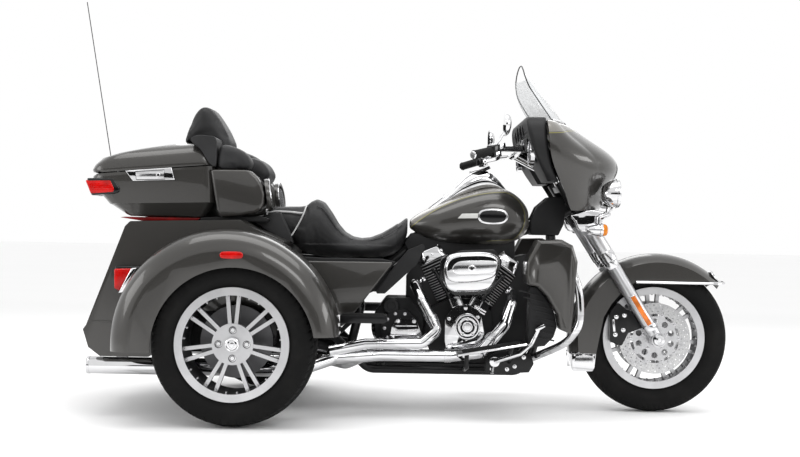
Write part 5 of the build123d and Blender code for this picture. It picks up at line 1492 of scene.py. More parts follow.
def seat_ring(x, low, high, half, square, dip, count=44):
    middle, tall = (low + high) / 2, (high - low) / 2
    points = []
    for i in range(count):
        a = 2 * pi * i / count
        c, s = cos(a), sin(a)
        y = half * (abs(c) ** (2 / square)) * (1 if c >= 0 else -1)
        z = middle + tall * (abs(s) ** (2 / square)) * (1 if s >= 0 else -1)
        if s > 0:
            z -= dip * (1 - min(1, abs(y) / half) ** 2) + 0.010 * max(0, abs(y) / half - 0.55)
        else:
            y *= 1 - 0.10 * (-s)
        points.append(Vector((x, y, z)))
    return points


def seat_edge(x, share):
    """Place on the seat's top at a share of its half width, from the rows."""
    rows = SEAT_ROWS
    for a, b in zip(rows, rows[1:]):
        if a[0] <= x <= b[0]:
            t = (x - a[0]) / (b[0] - a[0])
            row = [p + (q - p) * t for p, q in zip(a, b)]
            _, low, high, half, square, dip = row
            y = half * share
            rise = (1 - abs(share) ** square) ** (1 / square)
            z = (low + high) / 2 + (high - low) / 2 * rise
            z -= dip * (1 - share ** 2) + 0.010 * max(0, abs(share) - 0.55)
            return Vector((x, y, z))
    raise RuntimeError("seat_edge: x is off the seat")


def saddle(scene):
    """Two-up saddle."""
    bm = bmesh.new()
    skin(bm, [seat_ring(*row) for row in SEAT_ROWS])
    seat = from_bmesh("saddle", bm)
    puffed(seat, scene, 0.006, 0.007, lambda p: 1 if p.z > 0.69 and p.x < 0.0 and p.x > -0.54 else 0.25)
    finished(seat, "chassis", "leather", ("seat",))


def saddle_piping():
    """Piping in a V down each side of the pillion, and the bright strip along its top edge."""
    bm = bmesh.new()
    for side in SIDES:
        down = []
        for x, z, wide in ((-0.5445, 0.829, 0.60), (-0.5440, 0.826, 0.90), (-0.536, 0.800, 1.0),
                           (-0.526, 0.770, 1.0), (-0.517, 0.745, 0.985)):
            half = 0.1655 + (x + 0.545) * 0.15
            down.append(Vector((x, side * half * wide, z)))
        tube(bm, smooth_route(down, 5), 0.0032, 8)
        up = []
        for x, z, wide in ((-0.3795, 0.846, 0.55), (-0.3785, 0.842, 0.88), (-0.386, 0.815, 1.0),
                           (-0.402, 0.780, 1.003), (-0.424, 0.740, 1.0), (-0.444, 0.712, 0.985)):
            up.append(Vector((x, side * 0.1755 * wide, z)))
        tube(bm, smooth_route(up, 5), 0.0032, 8)
        top = [seat_edge(x, side * 0.90) + Vector((0, 0, 0.002)) for x in (-0.540, -0.51, -0.47, -0.43,
                                                                           -0.405, -0.385)]
        tube(bm, smooth_route(top, 4), 0.0040, 8)
    shaped("saddle_piping", bm, "chassis", "piping")


def saddle_seams():
    """Sewn seams across the rider's bucket and along its sides."""
    bm = bmesh.new()
    for side in SIDES:
        run = [seat_edge(x, side * 0.80) + Vector((0, 0, 0.0028)) for x in
               (-0.335, -0.31, -0.283, -0.255, -0.225, -0.19, -0.15, -0.11, -0.062, -0.015, 0.02)]
        tube(bm, smooth_route(run, 5), 0.0018, 6)
    for x in (-0.225, -0.06):
        run = [seat_edge(x, share) + Vector((0, 0, 0.0018)) for share in [-0.8 + 0.1 * i for i in range(17)]]
        tube(bm, run, 0.0016, 6)
    shaped("saddle_seams", bm, "chassis", "leather")


def rests(scene):
    """Armrests and backrests with their seams."""
    arm = curve_outline([(-0.724, 0.992), (-0.640, 0.9905), (-0.604, 0.993), (-0.594, 1.016),
                         (-0.617, 1.052),
                         (-0.668, 1.078), (-0.712, 1.084), (-0.724, 1.060)], 4)
    low = curve_outline([(-0.727, 0.990), (-0.729, 0.930), (-0.722, 0.862), (-0.680, 0.853), (-0.622, 0.858),
                         (-0.606, 0.905), (-0.545, 0.956), (-0.533, 0.985), (-0.562, 1.026), (-0.612, 1.042),
                         (-0.690, 1.035)], 4)
    top = curve_outline([(-0.893, 1.104), (-0.868, 1.185), (-0.842, 1.240), (-0.815, 1.257), (-0.786, 1.242),
                         (-0.741, 1.178), (-0.716, 1.130), (-0.706, 1.100), (-0.712, 1.064), (-0.730, 1.056),
                         (-0.744, 1.064), (-0.757, 1.090), (-0.853, 1.107)], 4)
    for name, outline, spans, round_by, node, body in (
        ("armrest_pads", arm, ((0.178, 0.288), (-0.288, -0.178)), 0.022, "armrests", "chassis"),
        ("lower_backrest_pad", low, ((-0.141, 0.141),), 0.030, "lower_backrest", "chassis"),
        ("backrest_pad", top, ((-0.124, 0.124),), 0.036, "backrest", "top_case_lid"),
    ):
        bm = bmesh.new()
        for y_low, y_high in spans:
            bolster(bm, outline, y_low, y_high, round_by, 5, 0.003)
        pad = from_bmesh(name, bm)
        puffed(pad, scene, 0.006, 0.004)
        finished(pad, body, "leather", (node,))

    bm = bmesh.new()
    for side in SIDES:
        run = [Vector((x, side * 0.262, z)) for x, z in ((-0.606, 1.010), (-0.628, 1.0475),
                                                         (-0.672, 1.0725), (-0.712, 1.079))]
        tube(bm, smooth_route(run, 5), 0.0022, 6)
    shaped("armrest_seams", bm, "chassis", "leather")


class TRIKE_OT_seats(bpy.types.Operator):
    """Two-up saddle, backrests and armrests"""

    bl_idname = "trike.seats"
    bl_label = "Seat and rests"

    def execute(self, context):
        saddle(context.scene)
        saddle_piping()
        saddle_seams()
        rests(context.scene)
        return {"FINISHED"}


def body_panels():
    """Painted body and the dark panels behind it."""
    dress("rear_body", "paint", "chassis", 0.016, 5, 35)
    dress("rear_fenders", "paint", "chassis", 0.0025, 3, 40)
    dress("side_panels", "paint", "chassis", 0.010, 4, 30)
    tray = [(-438, 470), (-436, 640), (-300, 634), (-60, 634), (0, 622), (-90, 500), (-228, 440)]
    finished(side_plate("seat_trays", tray, 0.150, 0.206, 0.004), "chassis", "plastic")
    tail = [(-640, 797), (-560, 801), (-481, 822), (-440, 740), (-424, 690), (-479, 705), (-562, 757),
            (-612, 786)]
    finished(side_plate("seat_tails", tail, 0.0, 0.188, 0.010, 4), "chassis", "leather")
    pad = [(-800, 778), (-800, 792), (-690, 797), (-560, 800), (-520, 790), (-530, 776)]
    finished(side_plate("deck_pads", pad, 0.0, 0.245, 0.004), "chassis", "plastic")
    fill = [(30, 700), (70, 622), (150, 600), (240, 640), (330, 640), (440, 600), (500, 640), (500, 742),
            (60, 742)]
    finished(side_plate("coil_covers", fill, 0.030, 0.060, 0.006), "chassis", "plastic")
    dress("side_covers", "plastic", "chassis", 0.010, 4, 30)
    dress("trunk_door", "paint", "trunk_lid", 0.003, 3, 35)


def tail_lamps():
    """Tail lamps and side markers."""
    outline = [(-1083, 586), (-1018, 588), (-1047, 520), (-1060, 502), (-1081, 510)]
    lens = side_plate("tail_lamp_lenses", outline, 0.4305, 0.520, 0.006)
    finished(lens, "chassis", "red", ("tail_lamps",))
    trim = side_plate("tail_lamp_trims", [(-1016, 590), (-994, 592), (-1044, 496), (-1064, 494)], 0.4305,
                      0.524, 0.004)
    finished(trim, "chassis", "chrome")
    bezel = side_plate("tail_lamp_bezels", [(-1090, 594), (-990, 595), (-1042, 492), (-1088, 500)], 0.4303,
                       0.470, 0.004)
    finished(bezel, "chassis", "gloss_black")
    bm = bmesh.new()
    for side in SIDES:
        outline = curve_outline([(-0.650, 0.651), (-0.642, 0.6625), (-0.607, 0.6645), (-0.572, 0.6625),
                                 (-0.564, 0.651),
                                 (-0.572, 0.6395), (-0.607, 0.6375), (-0.642, 0.6395)], 4)
        plate(bm, outline, lambda u, v, d, s=side: (u, s * (0.6953 + d), v), 0.0075)
    finished(bevelled("side_markers", bm, 0.003, 3, 40), "chassis", "red")


def body_trims():
    """Groove between the body's sides and its lower rear skirt."""
    bm = bmesh.new()
    for side in SIDES:
        run = [Vector((x, side * 0.4305, z)) for x, z in ((-1.203, 0.378), (-1.150, 0.377), (-1.050, 0.374),
                                                          (-1.035, 0.374))]
        tube(bm, run, 0.0030, 8)
    shaped("body_lips", bm, "chassis", "paint")
    bm = bmesh.new()
    rounded_box(bm, (-1.142, 0, 0.560), (0.012, 0.110, 0.020), Matrix.Rotation(radians(20), 3, "Y"))
    finished(bevelled("trunk_handle", bm, 0.004, 3), "trunk_lid", "chrome")


class TRIKE_OT_bodywork(bpy.types.Operator):
    """Trunk, fenders, side panels and tail lamps"""

    bl_idname = "trike.bodywork"
    bl_label = "Bodywork"

    def execute(self, context):
        body_panels()
        tail_lamps()
        body_trims()
        return {"FINISHED"}


CASE_SLOPE = 42 / 485
CASE_WALL = 0.005


def case_ring(x_rear, x_front, half, z, slope, corner, inset=0.0, count=7):
    """Level-cut outline of the top case, tilted by the seam's slope."""
    points = []
    a, b, h = x_rear + inset, x_front - inset, half - inset
    corner = max(corner - inset, 0.004)
    for cx, cy, start in ((b - corner, h - corner, 0), (a + corner, h - corner, 90),
                          (a + corner, corner - h, 180), (b - corner, corner - h, 270)):
        for k in range(count):
            t = radians(start + 90 * k / (count - 1))
            x, y = cx + corner * cos(t), cy + corner * sin(t)
            points.append(Vector((x, y, z + slope * (x + 0.98))))
    return points


def case_base():
    """Hollow base of the top case."""
    base_rows = (
        # height at x = -0.98, rear x, front x, half width, corner
        (0.7925, -1.088, -0.785, 0.250, 0.030),
        (0.800, -1.105, -0.776, 0.258, 0.036),
        (0.842, -1.163, -0.741, 0.270, 0.044),
        (0.846, -1.172, -0.738, 0.275, 0.046),
        (0.900, -1.212, -0.736, 0.281, 0.050),
        (0.958, -1.243, -0.737, 0.2845, 0.054),
        (0.974, -1.240, -0.737, 0.2845, 0.054),
        (0.981, -1.228, -0.7375, 0.2840, 0.050),
    )
    share = [max(0.0, min(1.0, (row[0] - 0.7925) / 0.16)) for row in base_rows]
    outer = [case_ring(row[1], row[2], row[3], row[0], CASE_SLOPE * s, row[4]) for row,
             s in zip(base_rows, share)]
    inner = [case_ring(row[1], row[2], row[3], row[0] + (0.006 if i < 2 else 0), CASE_SLOPE * s, row[4],
                       CASE_WALL)
             for i, (row, s) in enumerate(zip(base_rows, share))]
    bm = bmesh.new()
    skin(bm, outer + inner[::-1])
    base = from_bmesh("top_case_shell", bm)
    finished(base, "chassis", "paint", ("top_case_base",))


def case_hinges():
    """Knuckles and leaves of the two hinges."""
    hinges = [("base", "chassis", (-0.026, 0.016), 0.010, 0.948, 0.992),
              ("lid", "top_case_lid", (-0.015,), 0.030, 0.992, 1.030)]
    for word, body, starts, length, z_low, z_high in hinges:
        bm = bmesh.new()
        for x in (-1.090, -0.850):
            for start in starts:
                lathe(bm, [(0, 0.0062), (0.0008, 0.007), (length - 0.0008, 0.007), (length, 0.0062)],
                      (x + start, 0.293, 0.992), (1, 0, 0), 18)
                rounded_box(bm, (x + start + length / 2, 0.2885, (z_low + z_high) / 2),
                            (length, 0.005, z_high - z_low))
        hinge = bevelled(f"top_case_hinge_{word}", bm, 0.0008)
        finished(hinge, body, "chrome")


def case_lid():
    """Hollow lid of the top case."""
    lid_rows = (
        (0.9855, -1.228, -0.7375, 0.2840, 0.052),
        (0.990, -1.240, -0.7370, 0.2850, 0.056),
        (1.000, -1.244, -0.7375, 0.2850, 0.058),
        (1.012, -1.238, -0.739, 0.2835, 0.060),
        (1.020, -1.234, -0.740, 0.2825, 0.062),
        (1.046, -1.208, -0.748, 0.274, 0.072),
        (1.064, -1.150, -0.757, 0.256, 0.084),
        (1.076, -1.075, -0.766, 0.232, 0.094),
        (1.0855, -1.000, -0.785, 0.196, 0.100),
        (1.0885, -0.930, -0.810, 0.120, 0.050),
    )
    outer = [case_ring(row[1], row[2], row[3], row[0], CASE_SLOPE, row[4]) for row in lid_rows]
    inner = [case_ring(row[1], row[2], row[3], row[0] - (0.004 if i > 6 else 0), CASE_SLOPE, row[4],
                       CASE_WALL)
             for i, row in enumerate(lid_rows)]
    bm = bmesh.new()
    skin(bm, inner[::-1] + outer)
    lid = from_bmesh("top_case_lid_shell", bm)
    finished(lid, "top_case_lid", "paint", ("top_case_lid",))


def pods_and_wings():
    """Speaker pods and the wings of the backrest."""
    pod = [(-757, 986), (-690, 987), (-612, 987), (-596, 984), (-566, 958), (-546, 925), (-536, 888),
           (-538, 850), (-550, 826),
           (-574, 812), (-640, 800), (-712, 794), (-728, 822)]
    finished(side_plate("speaker_pod_shells", pod, 0.156, 0.2925, 0.012, 4), "chassis", "paint",
             ("speaker_pods",))
    wing = curve_outline([(-0.838, 1.102), (-0.812, 1.122), (-0.770, 1.121), (-0.736, 1.112),
                          (-0.732, 1.060),
                          (-0.734, 1.004), (-0.748, 1.000), (-0.768, 1.020), (-0.796, 1.064)], 3)
    wings = side_plate("backrest_wings", [(x * 1000, z * 1000) for x, z in wing], 0.110, 0.2925, 0.014, 5)
    finished(wings, "top_case_lid", "leather")


def case_speakers():
    """Speakers that face the pillion."""
    for side in SIDES:
        word = "left" if side > 0 else "right"
        axis = Vector((0.98, -0.1 * side, 0.15)).normalized()
        centre = Vector((-0.536, side * 0.224, 0.886))
        bm = bmesh.new()
        profile = [(0, 0.060), (0.0, 0.067), (0.012, 0.067), (0.020, 0.063), (0.022, 0.060), (0.020, 0.056),
                   (0.014, 0.055), (0.004, 0.056)]
        lathe(bm, profile, centre, axis, 56)
        shaped(f"speaker_housing_{word}", bm, "chassis", "paint")
        bm = bmesh.new()
        lathe(bm, [(0.016, 0.0665), (0.018, 0.0675), (0.0205, 0.0655), (0.0205, 0.0635), (0.018, 0.0640)],
              centre, axis, 56)
        shaped(f"speaker_ring_{word}", bm, "chassis", "chrome")
        bm = bmesh.new()
        lathe(bm, [(0.010, 0.0555), (0.015, 0.050), (0.019, 0.030), (0.020, 0.0)], centre, axis, 40)
        grille = from_bmesh(f"speaker_grille_{word}", bm)
        finished(grille, "chassis", "plastic")
        if side > 0:
            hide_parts("speakers")
        u = axis.orthogonal().normalized()
        v = axis.cross(u)
        dots = stud_places(centre, axis, u, v, 0.0095, 7, 0.0203, 0.0065, 0.0555, 2.2)
        scatter(f"speaker_studs_{word}", dots, stud_mesh(), "chassis", "dark_alloy")


def case_latch():
    """Rack, latch plate, paddle and lock."""
    dress("top_case_rack", "black_metal", "chassis", 0.002, 2)
    latch = [(-1100, 974), (-912, 990), (-899, 939), (-1068, 933)]
    piece = right_plate("top_case_latch_plate", latch, 0.2855, 0.2925, 0.003, 3)
    finished(piece, "chassis", "chrome", ("top_case_latch",))
    paddle = [(-1056, 969), (-943, 978), (-941, 944), (-1052, 940)]
    piece = right_plate("top_case_latch_paddle", paddle, 0.2915, 0.2950, 0.0015, 2)
    finished(piece, "chassis", "satin_chrome")
    bm = bmesh.new()
    rim = [Vector((x, -0.2930, z)) for x, z in ((-1.058, 0.971), (-0.941, 0.980), (-0.939, 0.942),
                                                (-1.054, 0.938), (-1.058, 0.971))]
    tube(bm, rim, 0.0012, 6)
    shaped("top_case_latch_gap", bm, "chassis", "plastic")
    bm = bmesh.new()
    lathe(bm, [(0, 0.0085), (0.003, 0.0085), (0.004, 0.0070), (0.004, 0.0045), (0.0025, 0.004),
               (0.0025, 0.0)], (-0.965, -0.2945, 0.9585), (0, -1, 0), 24)
    shaped("top_case_lock", bm, "chassis", "chrome")


def case_lamps():
    """Lamps of the top case, and the antenna."""
    lamps = ((-1262, 934), (-1158, 937), (-1141, 902), (-1144, 885), (-1238, 877))
    lens = side_plate("top_case_lamps", lamps, 0.150, 0.2865, 0.006)
    finished(lens, "chassis", "red")
    bezels = side_plate("top_case_lamp_bezels", [(-1256, 942), (-1150, 945), (-1120, 905), (-1122, 888),
                                                 (-1142, 880), (-1236, 872)], 0.146, 0.2857, 0.006)
    finished(bezels, "chassis", "gloss_black")
    strip = side_plate("deck_lamp", [(-1128, 786), (-1108, 789), (-800, 789), (-812, 779), (-1040, 773)],
                       0.0, 0.247, 0.003)
    finished(strip, "chassis", "dark_red")
    dress("antenna", "black_metal", "chassis", 0.0)


class TRIKE_OT_top_case(bpy.types.Operator):
    """Top case with its lid, pods, speakers, latch and lamps"""

    bl_idname = "trike.top_case"
    bl_label = "Top case"

    def execute(self, context):
        case_base()
        case_hinges()
        case_lid()
        pods_and_wings()
        case_speakers()
        case_latch()
        case_lamps()
        return {"FINISHED"}


def tank_shell():
    """Fuel tank from squared ellipses."""
    rows = (
        # x, low z, high z, half width, squareness
        (0.053, 0.760, 0.792, 0.050, 2.2),
        (0.060, 0.750, 0.803, 0.062, 2.2),
        (0.085, 0.733, 0.822, 0.080, 2.3),
        (0.120, 0.714, 0.842, 0.100, 2.4),
        (0.180, 0.702, 0.872, 0.126, 2.5),
        (0.250, 0.696, 0.902, 0.144, 2.6),
        (0.330, 0.694, 0.930, 0.151, 2.6),
        (0.400, 0.694, 0.944, 0.151, 2.6),
        (0.450, 0.696, 0.940, 0.147, 2.5),
        (0.495, 0.706, 0.920, 0.135, 2.4),
        (0.528, 0.722, 0.892, 0.114, 2.3),
        (0.549, 0.744, 0.865, 0.088, 2.2),
        (0.559, 0.768, 0.838, 0.060, 2.2),
    )
    rings = []
    for x, low, high, half, square in rows:
        middle, tall = (low + high) / 2, (high - low) / 2
        points = []
        for i in range(56):
            a = 2 * pi * i / 56
            c, s = cos(a), sin(a)
            y = half * abs(c) ** (2 / square) * (1 if c >= 0 else -1)
            z = middle + tall * abs(s) ** (2 / square) * (1 if s >= 0 else -1)
            if s < 0 and abs(y) < 0.036:
                z = max(z, min(0.775 + (x - 0.09) * 0.04, high - 0.02))
            points.append(Vector((x, y, z)))
        rings.append(points)
    bm = bmesh.new()
    skin(bm, rings)
    finished(subdivided(from_bmesh("tank_shell", bm), 2), "chassis", "tank", ("fuel_tank",))


def tank_badges():
    """Plain bright bar with a slanted end on each side."""
    bm = bmesh.new()
    for side in SIDES:
        outline = [(0.252, 0.8060), (0.270, 0.8265), (0.336, 0.8285), (0.334, 0.8080)]
        plate(bm, outline, lambda u, v, d, s=side: (u, s * (0.1435 + (u - 0.236) * 0.09 + d), v), 0.0032)
    finished(bevelled("tank_bars", bm, 0.0008), "chassis", "white")
    bm = bmesh.new()
    for side in SIDES:
        outline = curve_outline([(0.334, 0.8165), (0.350, 0.8420), (0.398, 0.8490), (0.446, 0.8420),
                                 (0.462, 0.8165),
                                 (0.446, 0.7910), (0.398, 0.7840), (0.350, 0.7910)], 4)
        plate(bm, outline, lambda u, v, d, s=side: (u, s * (0.1496 + d - abs(u - 0.39) * 0.03), v), 0.0034)
    finished(bevelled("tank_badges", bm, 0.0010), "chassis", "satin_chrome")
    bm = bmesh.new()
    for side in SIDES:
        outline = curve_outline([(0.343, 0.8165), (0.356, 0.8365), (0.398, 0.8425), (0.440, 0.8365),
                                 (0.453, 0.8165),
                                 (0.440, 0.7965), (0.398, 0.7905), (0.356, 0.7965)], 4)
        plate(bm, outline, lambda u, v, d, s=side: (u, s * (0.1522 + d - abs(u - 0.39) * 0.03), v), 0.0018)
    finished(bevelled("tank_badge_fields", bm, 0.0006), "chassis", "gloss_black")


def console():
    """Console on the tank from bent ellipses."""
    console_rows = (
        (0.088, 0.790, 0.812, 0.046), (0.100, 0.798, 0.822, 0.050), (0.160, 0.842, 0.871, 0.053),
        (0.225, 0.870, 0.925, 0.054), (0.262, 0.895, 0.966, 0.054), (0.300, 0.905, 0.998, 0.053),
        (0.345, 0.925, 1.0185, 0.050), (0.392, 0.935, 1.0125, 0.046), (0.430, 0.932, 0.975, 0.040),
        (0.455, 0.922, 0.944, 0.034), (0.470, 0.915, 0.924, 0.028),
    )
    rings = []
    for x, low, high, half in console_rows:
        points = []
        for i in range(36):
            a = 2 * pi * i / 36
            c, s = cos(a), sin(a)
            y = half * abs(c) ** 0.7 * (1 if c >= 0 else -1) * (1.0 if s < 0 else 1 - 0.25 * s)
            z = (low + high) / 2 + (high - low) / 2 * abs(s) ** 0.7 * (1 if s >= 0 else -1)
            points.append(Vector((x, y, z)))
        rings.append(points)
    bm = bmesh.new()
    skin(bm, rings)
    finished(subdivided(from_bmesh("console_shell", bm), 2), "chassis", "chrome", ("tank_console",))


def gauge():
    """Gauge in the console."""
    up = Vector((-0.42, 0, 0.91)).normalized()
    centre = Vector((0.350, 0, 1.0105))
    bm = bmesh.new()
    lathe(bm, [(-0.004, 0.047), (0.004, 0.048), (0.009, 0.046), (0.010, 0.042), (0.006, 0.040),
               (0.002, 0.040)], centre - up * 0.004, up, 48)
    shaped("gauge_bezel", bm, "chassis", "gloss_black")
    bm = bmesh.new()
    lathe(bm, [(-0.002, 0.0405), (0.0005, 0.0405), (0.0008, 0.0)], centre, up, 40)
    shaped("gauge_face", bm, "chassis", "dial")
    u = Vector((0, 1, 0))
    v = up.cross(u)
    bm = bmesh.new()
    for i in range(27):
        a = radians(-130 + 10 * i)
        direction = u * sin(a) + v * -cos(a)
        side_way = up.cross(direction)
        size = 0.006 if i % 2 == 0 else 0.0035
        middle = centre + up * 0.0016 + direction * (0.037 - size / 2)
        turn = Matrix((direction, side_way, up)).transposed()
        rounded_box(bm, middle, (size, 0.0011, 0.0006), turn)
    rounded_box(bm, centre + up * 0.0022 + (u * 0.2 - v * 0.9).normalized() * 0.014, (0.030, 0.0014, 0.0008),
                Matrix(((u * 0.2 - v * 0.9).normalized(), up.cross((u * 0.2 - v * 0.9).normalized()),
                        up)).transposed())
    shaped("gauge_marks", bm, "chassis", "dial_mark")


def filler_lid():
    """Filler lid and its ribs."""
    dress("fuel_door", "chrome", "filler_lid", 0.0015, 2)
    bm = bmesh.new()
    slant = Vector((136, 0, 114)).normalized()
    rise = Vector((-114, 0, 136)).normalized()
    for shift in (0.075, 0.105):
        middle = Vector((0.096, 0, 0.818)) + slant * shift + rise * 0.0005
        rounded_box(bm, middle, (0.004, 0.056, 0.002), Matrix((slant, Vector((0, 1, 0)), rise)).transposed())
    finished(bevelled("filler_lid_ribs", bm, 0.0006), "filler_lid", "satin_chrome")


class TRIKE_OT_tank(bpy.types.Operator):
    """Fuel tank, console, gauge and filler lid"""

    bl_idname = "trike.tank"
    bl_label = "Tank"

    def execute(self, context):
        tank_shell()
        tank_badges()
        console()
        gauge()
        filler_lid()
        return {"FINISHED"}


def fork_legs():
    """Fork with collars, sleeves, axle caps and reflectors."""
    dress("fork", "black_metal", "steering", 0.003, 2)
    dress("fork_sliders", "slider", "steering", 0.003, 3)
    bm = bmesh.new()
    for side in SIDES:
        y = side * FORK_Y
        base = fork_point(0, y)
        lathe(bm, [(0.383, 0.0285), (0.384, 0.0330), (0.392, 0.0335), (0.425, 0.0335), (0.428, 0.0325)],
              base, FORK_UP, 40)
        lathe(bm, [(0.352, 0.0282), (0.354, 0.0296), (0.380, 0.0296), (0.383, 0.0290)], base, FORK_UP, 40)
        lathe(bm, [(0.046, 0.0282), (0.050, 0.0300), (0.074, 0.0300), (0.078, 0.0282)], base, FORK_UP, 40)
    shaped("slider_collars", bm, "steering", "satin_chrome")
    bm = bmesh.new()
    for side in SIDES:
        base = fork_point(0, side * FORK_Y)
        lathe(bm, [(0.428, 0.0322), (0.432, 0.0328), (0.560, 0.0328), (0.564, 0.0322)], base, FORK_UP, 40)
    shaped("fork_sleeves", bm, "steering", "slider")
    bm = bmesh.new()
    for side in SIDES:
        y = side * (FORK_Y + 0.030)
        profile = [(0, 0.026), (0.004, 0.026), (0.010, 0.022), (0.012, 0.014), (0.016, 0.0135),
                   (0.017, 0.009), (0.014, 0.008), (0.014, 0.0)]
        lathe(bm, profile, (FRONT_X, y, AXLE_Z), (0, side, 0), 36)
    shaped("front_axle_caps", bm, "steering", "chrome")
    ahead = Vector((cos(FORK_ANGLE), 0, sin(FORK_ANGLE)))
    for key, name, wide, tall, proud, y_at in (
        ("satin_chrome", "reflector_frames", 0.026, 0.146, 0.010, 0.1495),
        # The orange reflectors glow a little: painted light, since they are no lamps.
        ("orange", "fork_reflectors", 0.020, 0.138, 0.008, 0.1535),
    ):
        bm = bmesh.new()
        for side in SIDES:
            middle = fork_point(0.143, side * y_at, 0.0)
            rounded_box(bm, middle, (wide, proud, tall),
                        Matrix((ahead, Vector((0, 1, 0)), FORK_UP)).transposed())
        finished(bevelled(name, bm, 0.003, 3), "steering", key)


def front_fender():
    """Front fender: crowned sheet swept round its circle and trimmed to the side outline."""
    cx, cz, radius, half, crown = FRONT_FENDER
    lower = ((1.400, 0.552), (1.008, 0.552), (0.960, 0.520), (0.908, 0.457), (0.877, 0.403), (0.862, 0.328),
             (0.847, 0.247), (0.838, 0.165))

    def edge_radius(angle):
        """How far from the circle's centre the lower edge lies at this angle."""
        d = Vector((cos(angle), sin(angle)))
        best = None
        for a, b in zip(lower, lower[1:]):
            p, q = Vector(a) - Vector((cx, cz)), Vector(b) - Vector((cx, cz))
            along = q - p
            cross = d.x * along.y - d.y * along.x
            if abs(cross) < 1e-9:
                continue
            far = (p.x * along.y - p.y * along.x) / cross
            t = (p.x * d.y - p.y * d.x) / cross
            if far > 0 and -1e-6 <= t <= 1 + 1e-6:
                best = far if best is None else min(best, far)
        return best

    start, stop = radians(43.0), radians(200.5)
    steps = 96
    bm = bmesh.new()
    outer_rows, inner_rows = [], []
    for i in range(steps + 1):
        angle = start + (stop - start) * i / steps
        low = edge_radius(angle)
        if low is None:
            low = radius - crown - 0.004
        low = min(low, radius - crown - 0.001)
        row_out, row_in = [], []
        section = [(-half, low), (-half, (low + radius - crown) / 2), (-half, radius - crown)]
        for k in range(1, 12):
            t = -1 + 2 * k / 12
            rise = crown * (1 - abs(t) ** 2.3)
            section.append((half * t, radius - crown + rise))
        section += [(half, radius - crown), (half, (low + radius - crown) / 2), (half, low)]
        for y, r in section:
            row_out.append(Vector((cx + r * cos(angle), y, cz + r * sin(angle))))
            shrink = (abs(y) - 0.004) * (1 if y > 0 else -1) if abs(y) > 0.08 else y
            deep = r - 0.004 if abs(y) <= 0.0875 else r
            row_in.append(Vector((cx + deep * cos(angle), shrink, cz + deep * sin(angle))))
        outer_rows.append(row_out)
        inner_rows.append(row_in)
    rings = [out + inner[::-1] for out, inner in zip(outer_rows, inner_rows)]
    skin(bm, rings)
    fender = from_bmesh("front_fender_shell", bm)
    finished(fender, "steering", "paint", ("front_fender",))


def fender_trims():
    """Bright strips along the fender and its nose."""
    bm = bmesh.new()
    for side in SIDES:
        run = [Vector((x, side * 0.0895, z)) for x, z in ((1.010, 0.553), (1.120, 0.5525), (1.250, 0.552),
                                                          (1.330, 0.5515))]
        run += [Vector((1.356, side * 0.086, 0.5515)), Vector((1.378, side * 0.070, 0.552)),
                Vector((1.391, side * 0.040, 0.552)), Vector((1.395, 0, 0.552))]
        tube(bm, smooth_route(run, 6), 0.0075, 12, None, 0.55)
    shaped("front_fender_trim", bm, "steering", "chrome")
    bm = bmesh.new()
    bow = [(-0.052, 0.586), (-0.040, 0.5955), (0.0, 0.602), (0.040, 0.5955), (0.052, 0.586), (0.046, 0.560),
           (0.0, 0.556), (-0.046, 0.560)]
    outline = curve_outline(bow, 3)
    plate(bm, outline, lambda u, v, d: (1.3785 + d - (v - 0.556) * 0.80 - abs(u) * abs(u) * 6, u, v), 0.006)
    finished(bevelled("front_fender_nose", bm, 0.002, 2), "steering", "chrome")


def fender_skirt():
    """Bright skirt at the fender's rear end."""
    cx, cz, radius, half, crown = FRONT_FENDER
    bm = bmesh.new()
    profile = []
    for angle in [radians(188 + i * 1.6) for i in range(9)]:
        row = []
        for k in range(19):
            t = -1 + 2 * k / 18
            y = (half + 0.0015) * t
            r = radius + 0.0015 - crown * (abs(t) ** 2.3)
            row.append(Vector((cx + r * cos(angle), y, cz + r * sin(angle))))
        profile.append(row)
    outer = []
    for row in profile:
        back = [p + Vector((0.0035, 0, 0)) for p in reversed(row)]
        outer.append(row + back)
    skin(bm, outer)
    for side in SIDES:
        outline = [(0.7445, 0.246), (0.846, 0.2475), (0.8405, 0.190), (0.832, 0.1735), (0.7490, 0.1735)]
        plate(bm, outline, lambda u, v, d, s=side: (u, s * (half + 0.0002 + d), v), 0.0022)
    finished(bevelled("front_fender_skirt", bm, 0.0008), "steering", "chrome")
    bm = bmesh.new()
    for side in SIDES:
        outline = curve_outline([(0.762, 0.236), (0.836, 0.237), (0.832, 0.196), (0.822, 0.183),
                                 (0.764, 0.183)], 2)
        plate(bm, outline, lambda u, v, d, s=side: (u, s * (half + 0.0022 + d), v), 0.0010)
    finished(bevelled("front_fender_skirt_panel", bm, 0.0004), "steering", "satin_chrome")
    places = [((x, side * (half + 0.0024), 0.2415), (0, side, 0)) for x in (0.756, 0.792,
                                                                            0.836) for side in SIDES]
    bolts("skirt_bolts", places, "steering", 0.003, 0.002, "chrome")


class TRIKE_OT_fork(bpy.types.Operator):
    """Fork, sliders, reflectors and the front fender"""

    bl_idname = "trike.fork"
    bl_label = "Fork and fender"

    def execute(self, context):
        fork_legs()
        front_fender()
        fender_trims()
        fender_skirt()
        return {"FINISHED"}


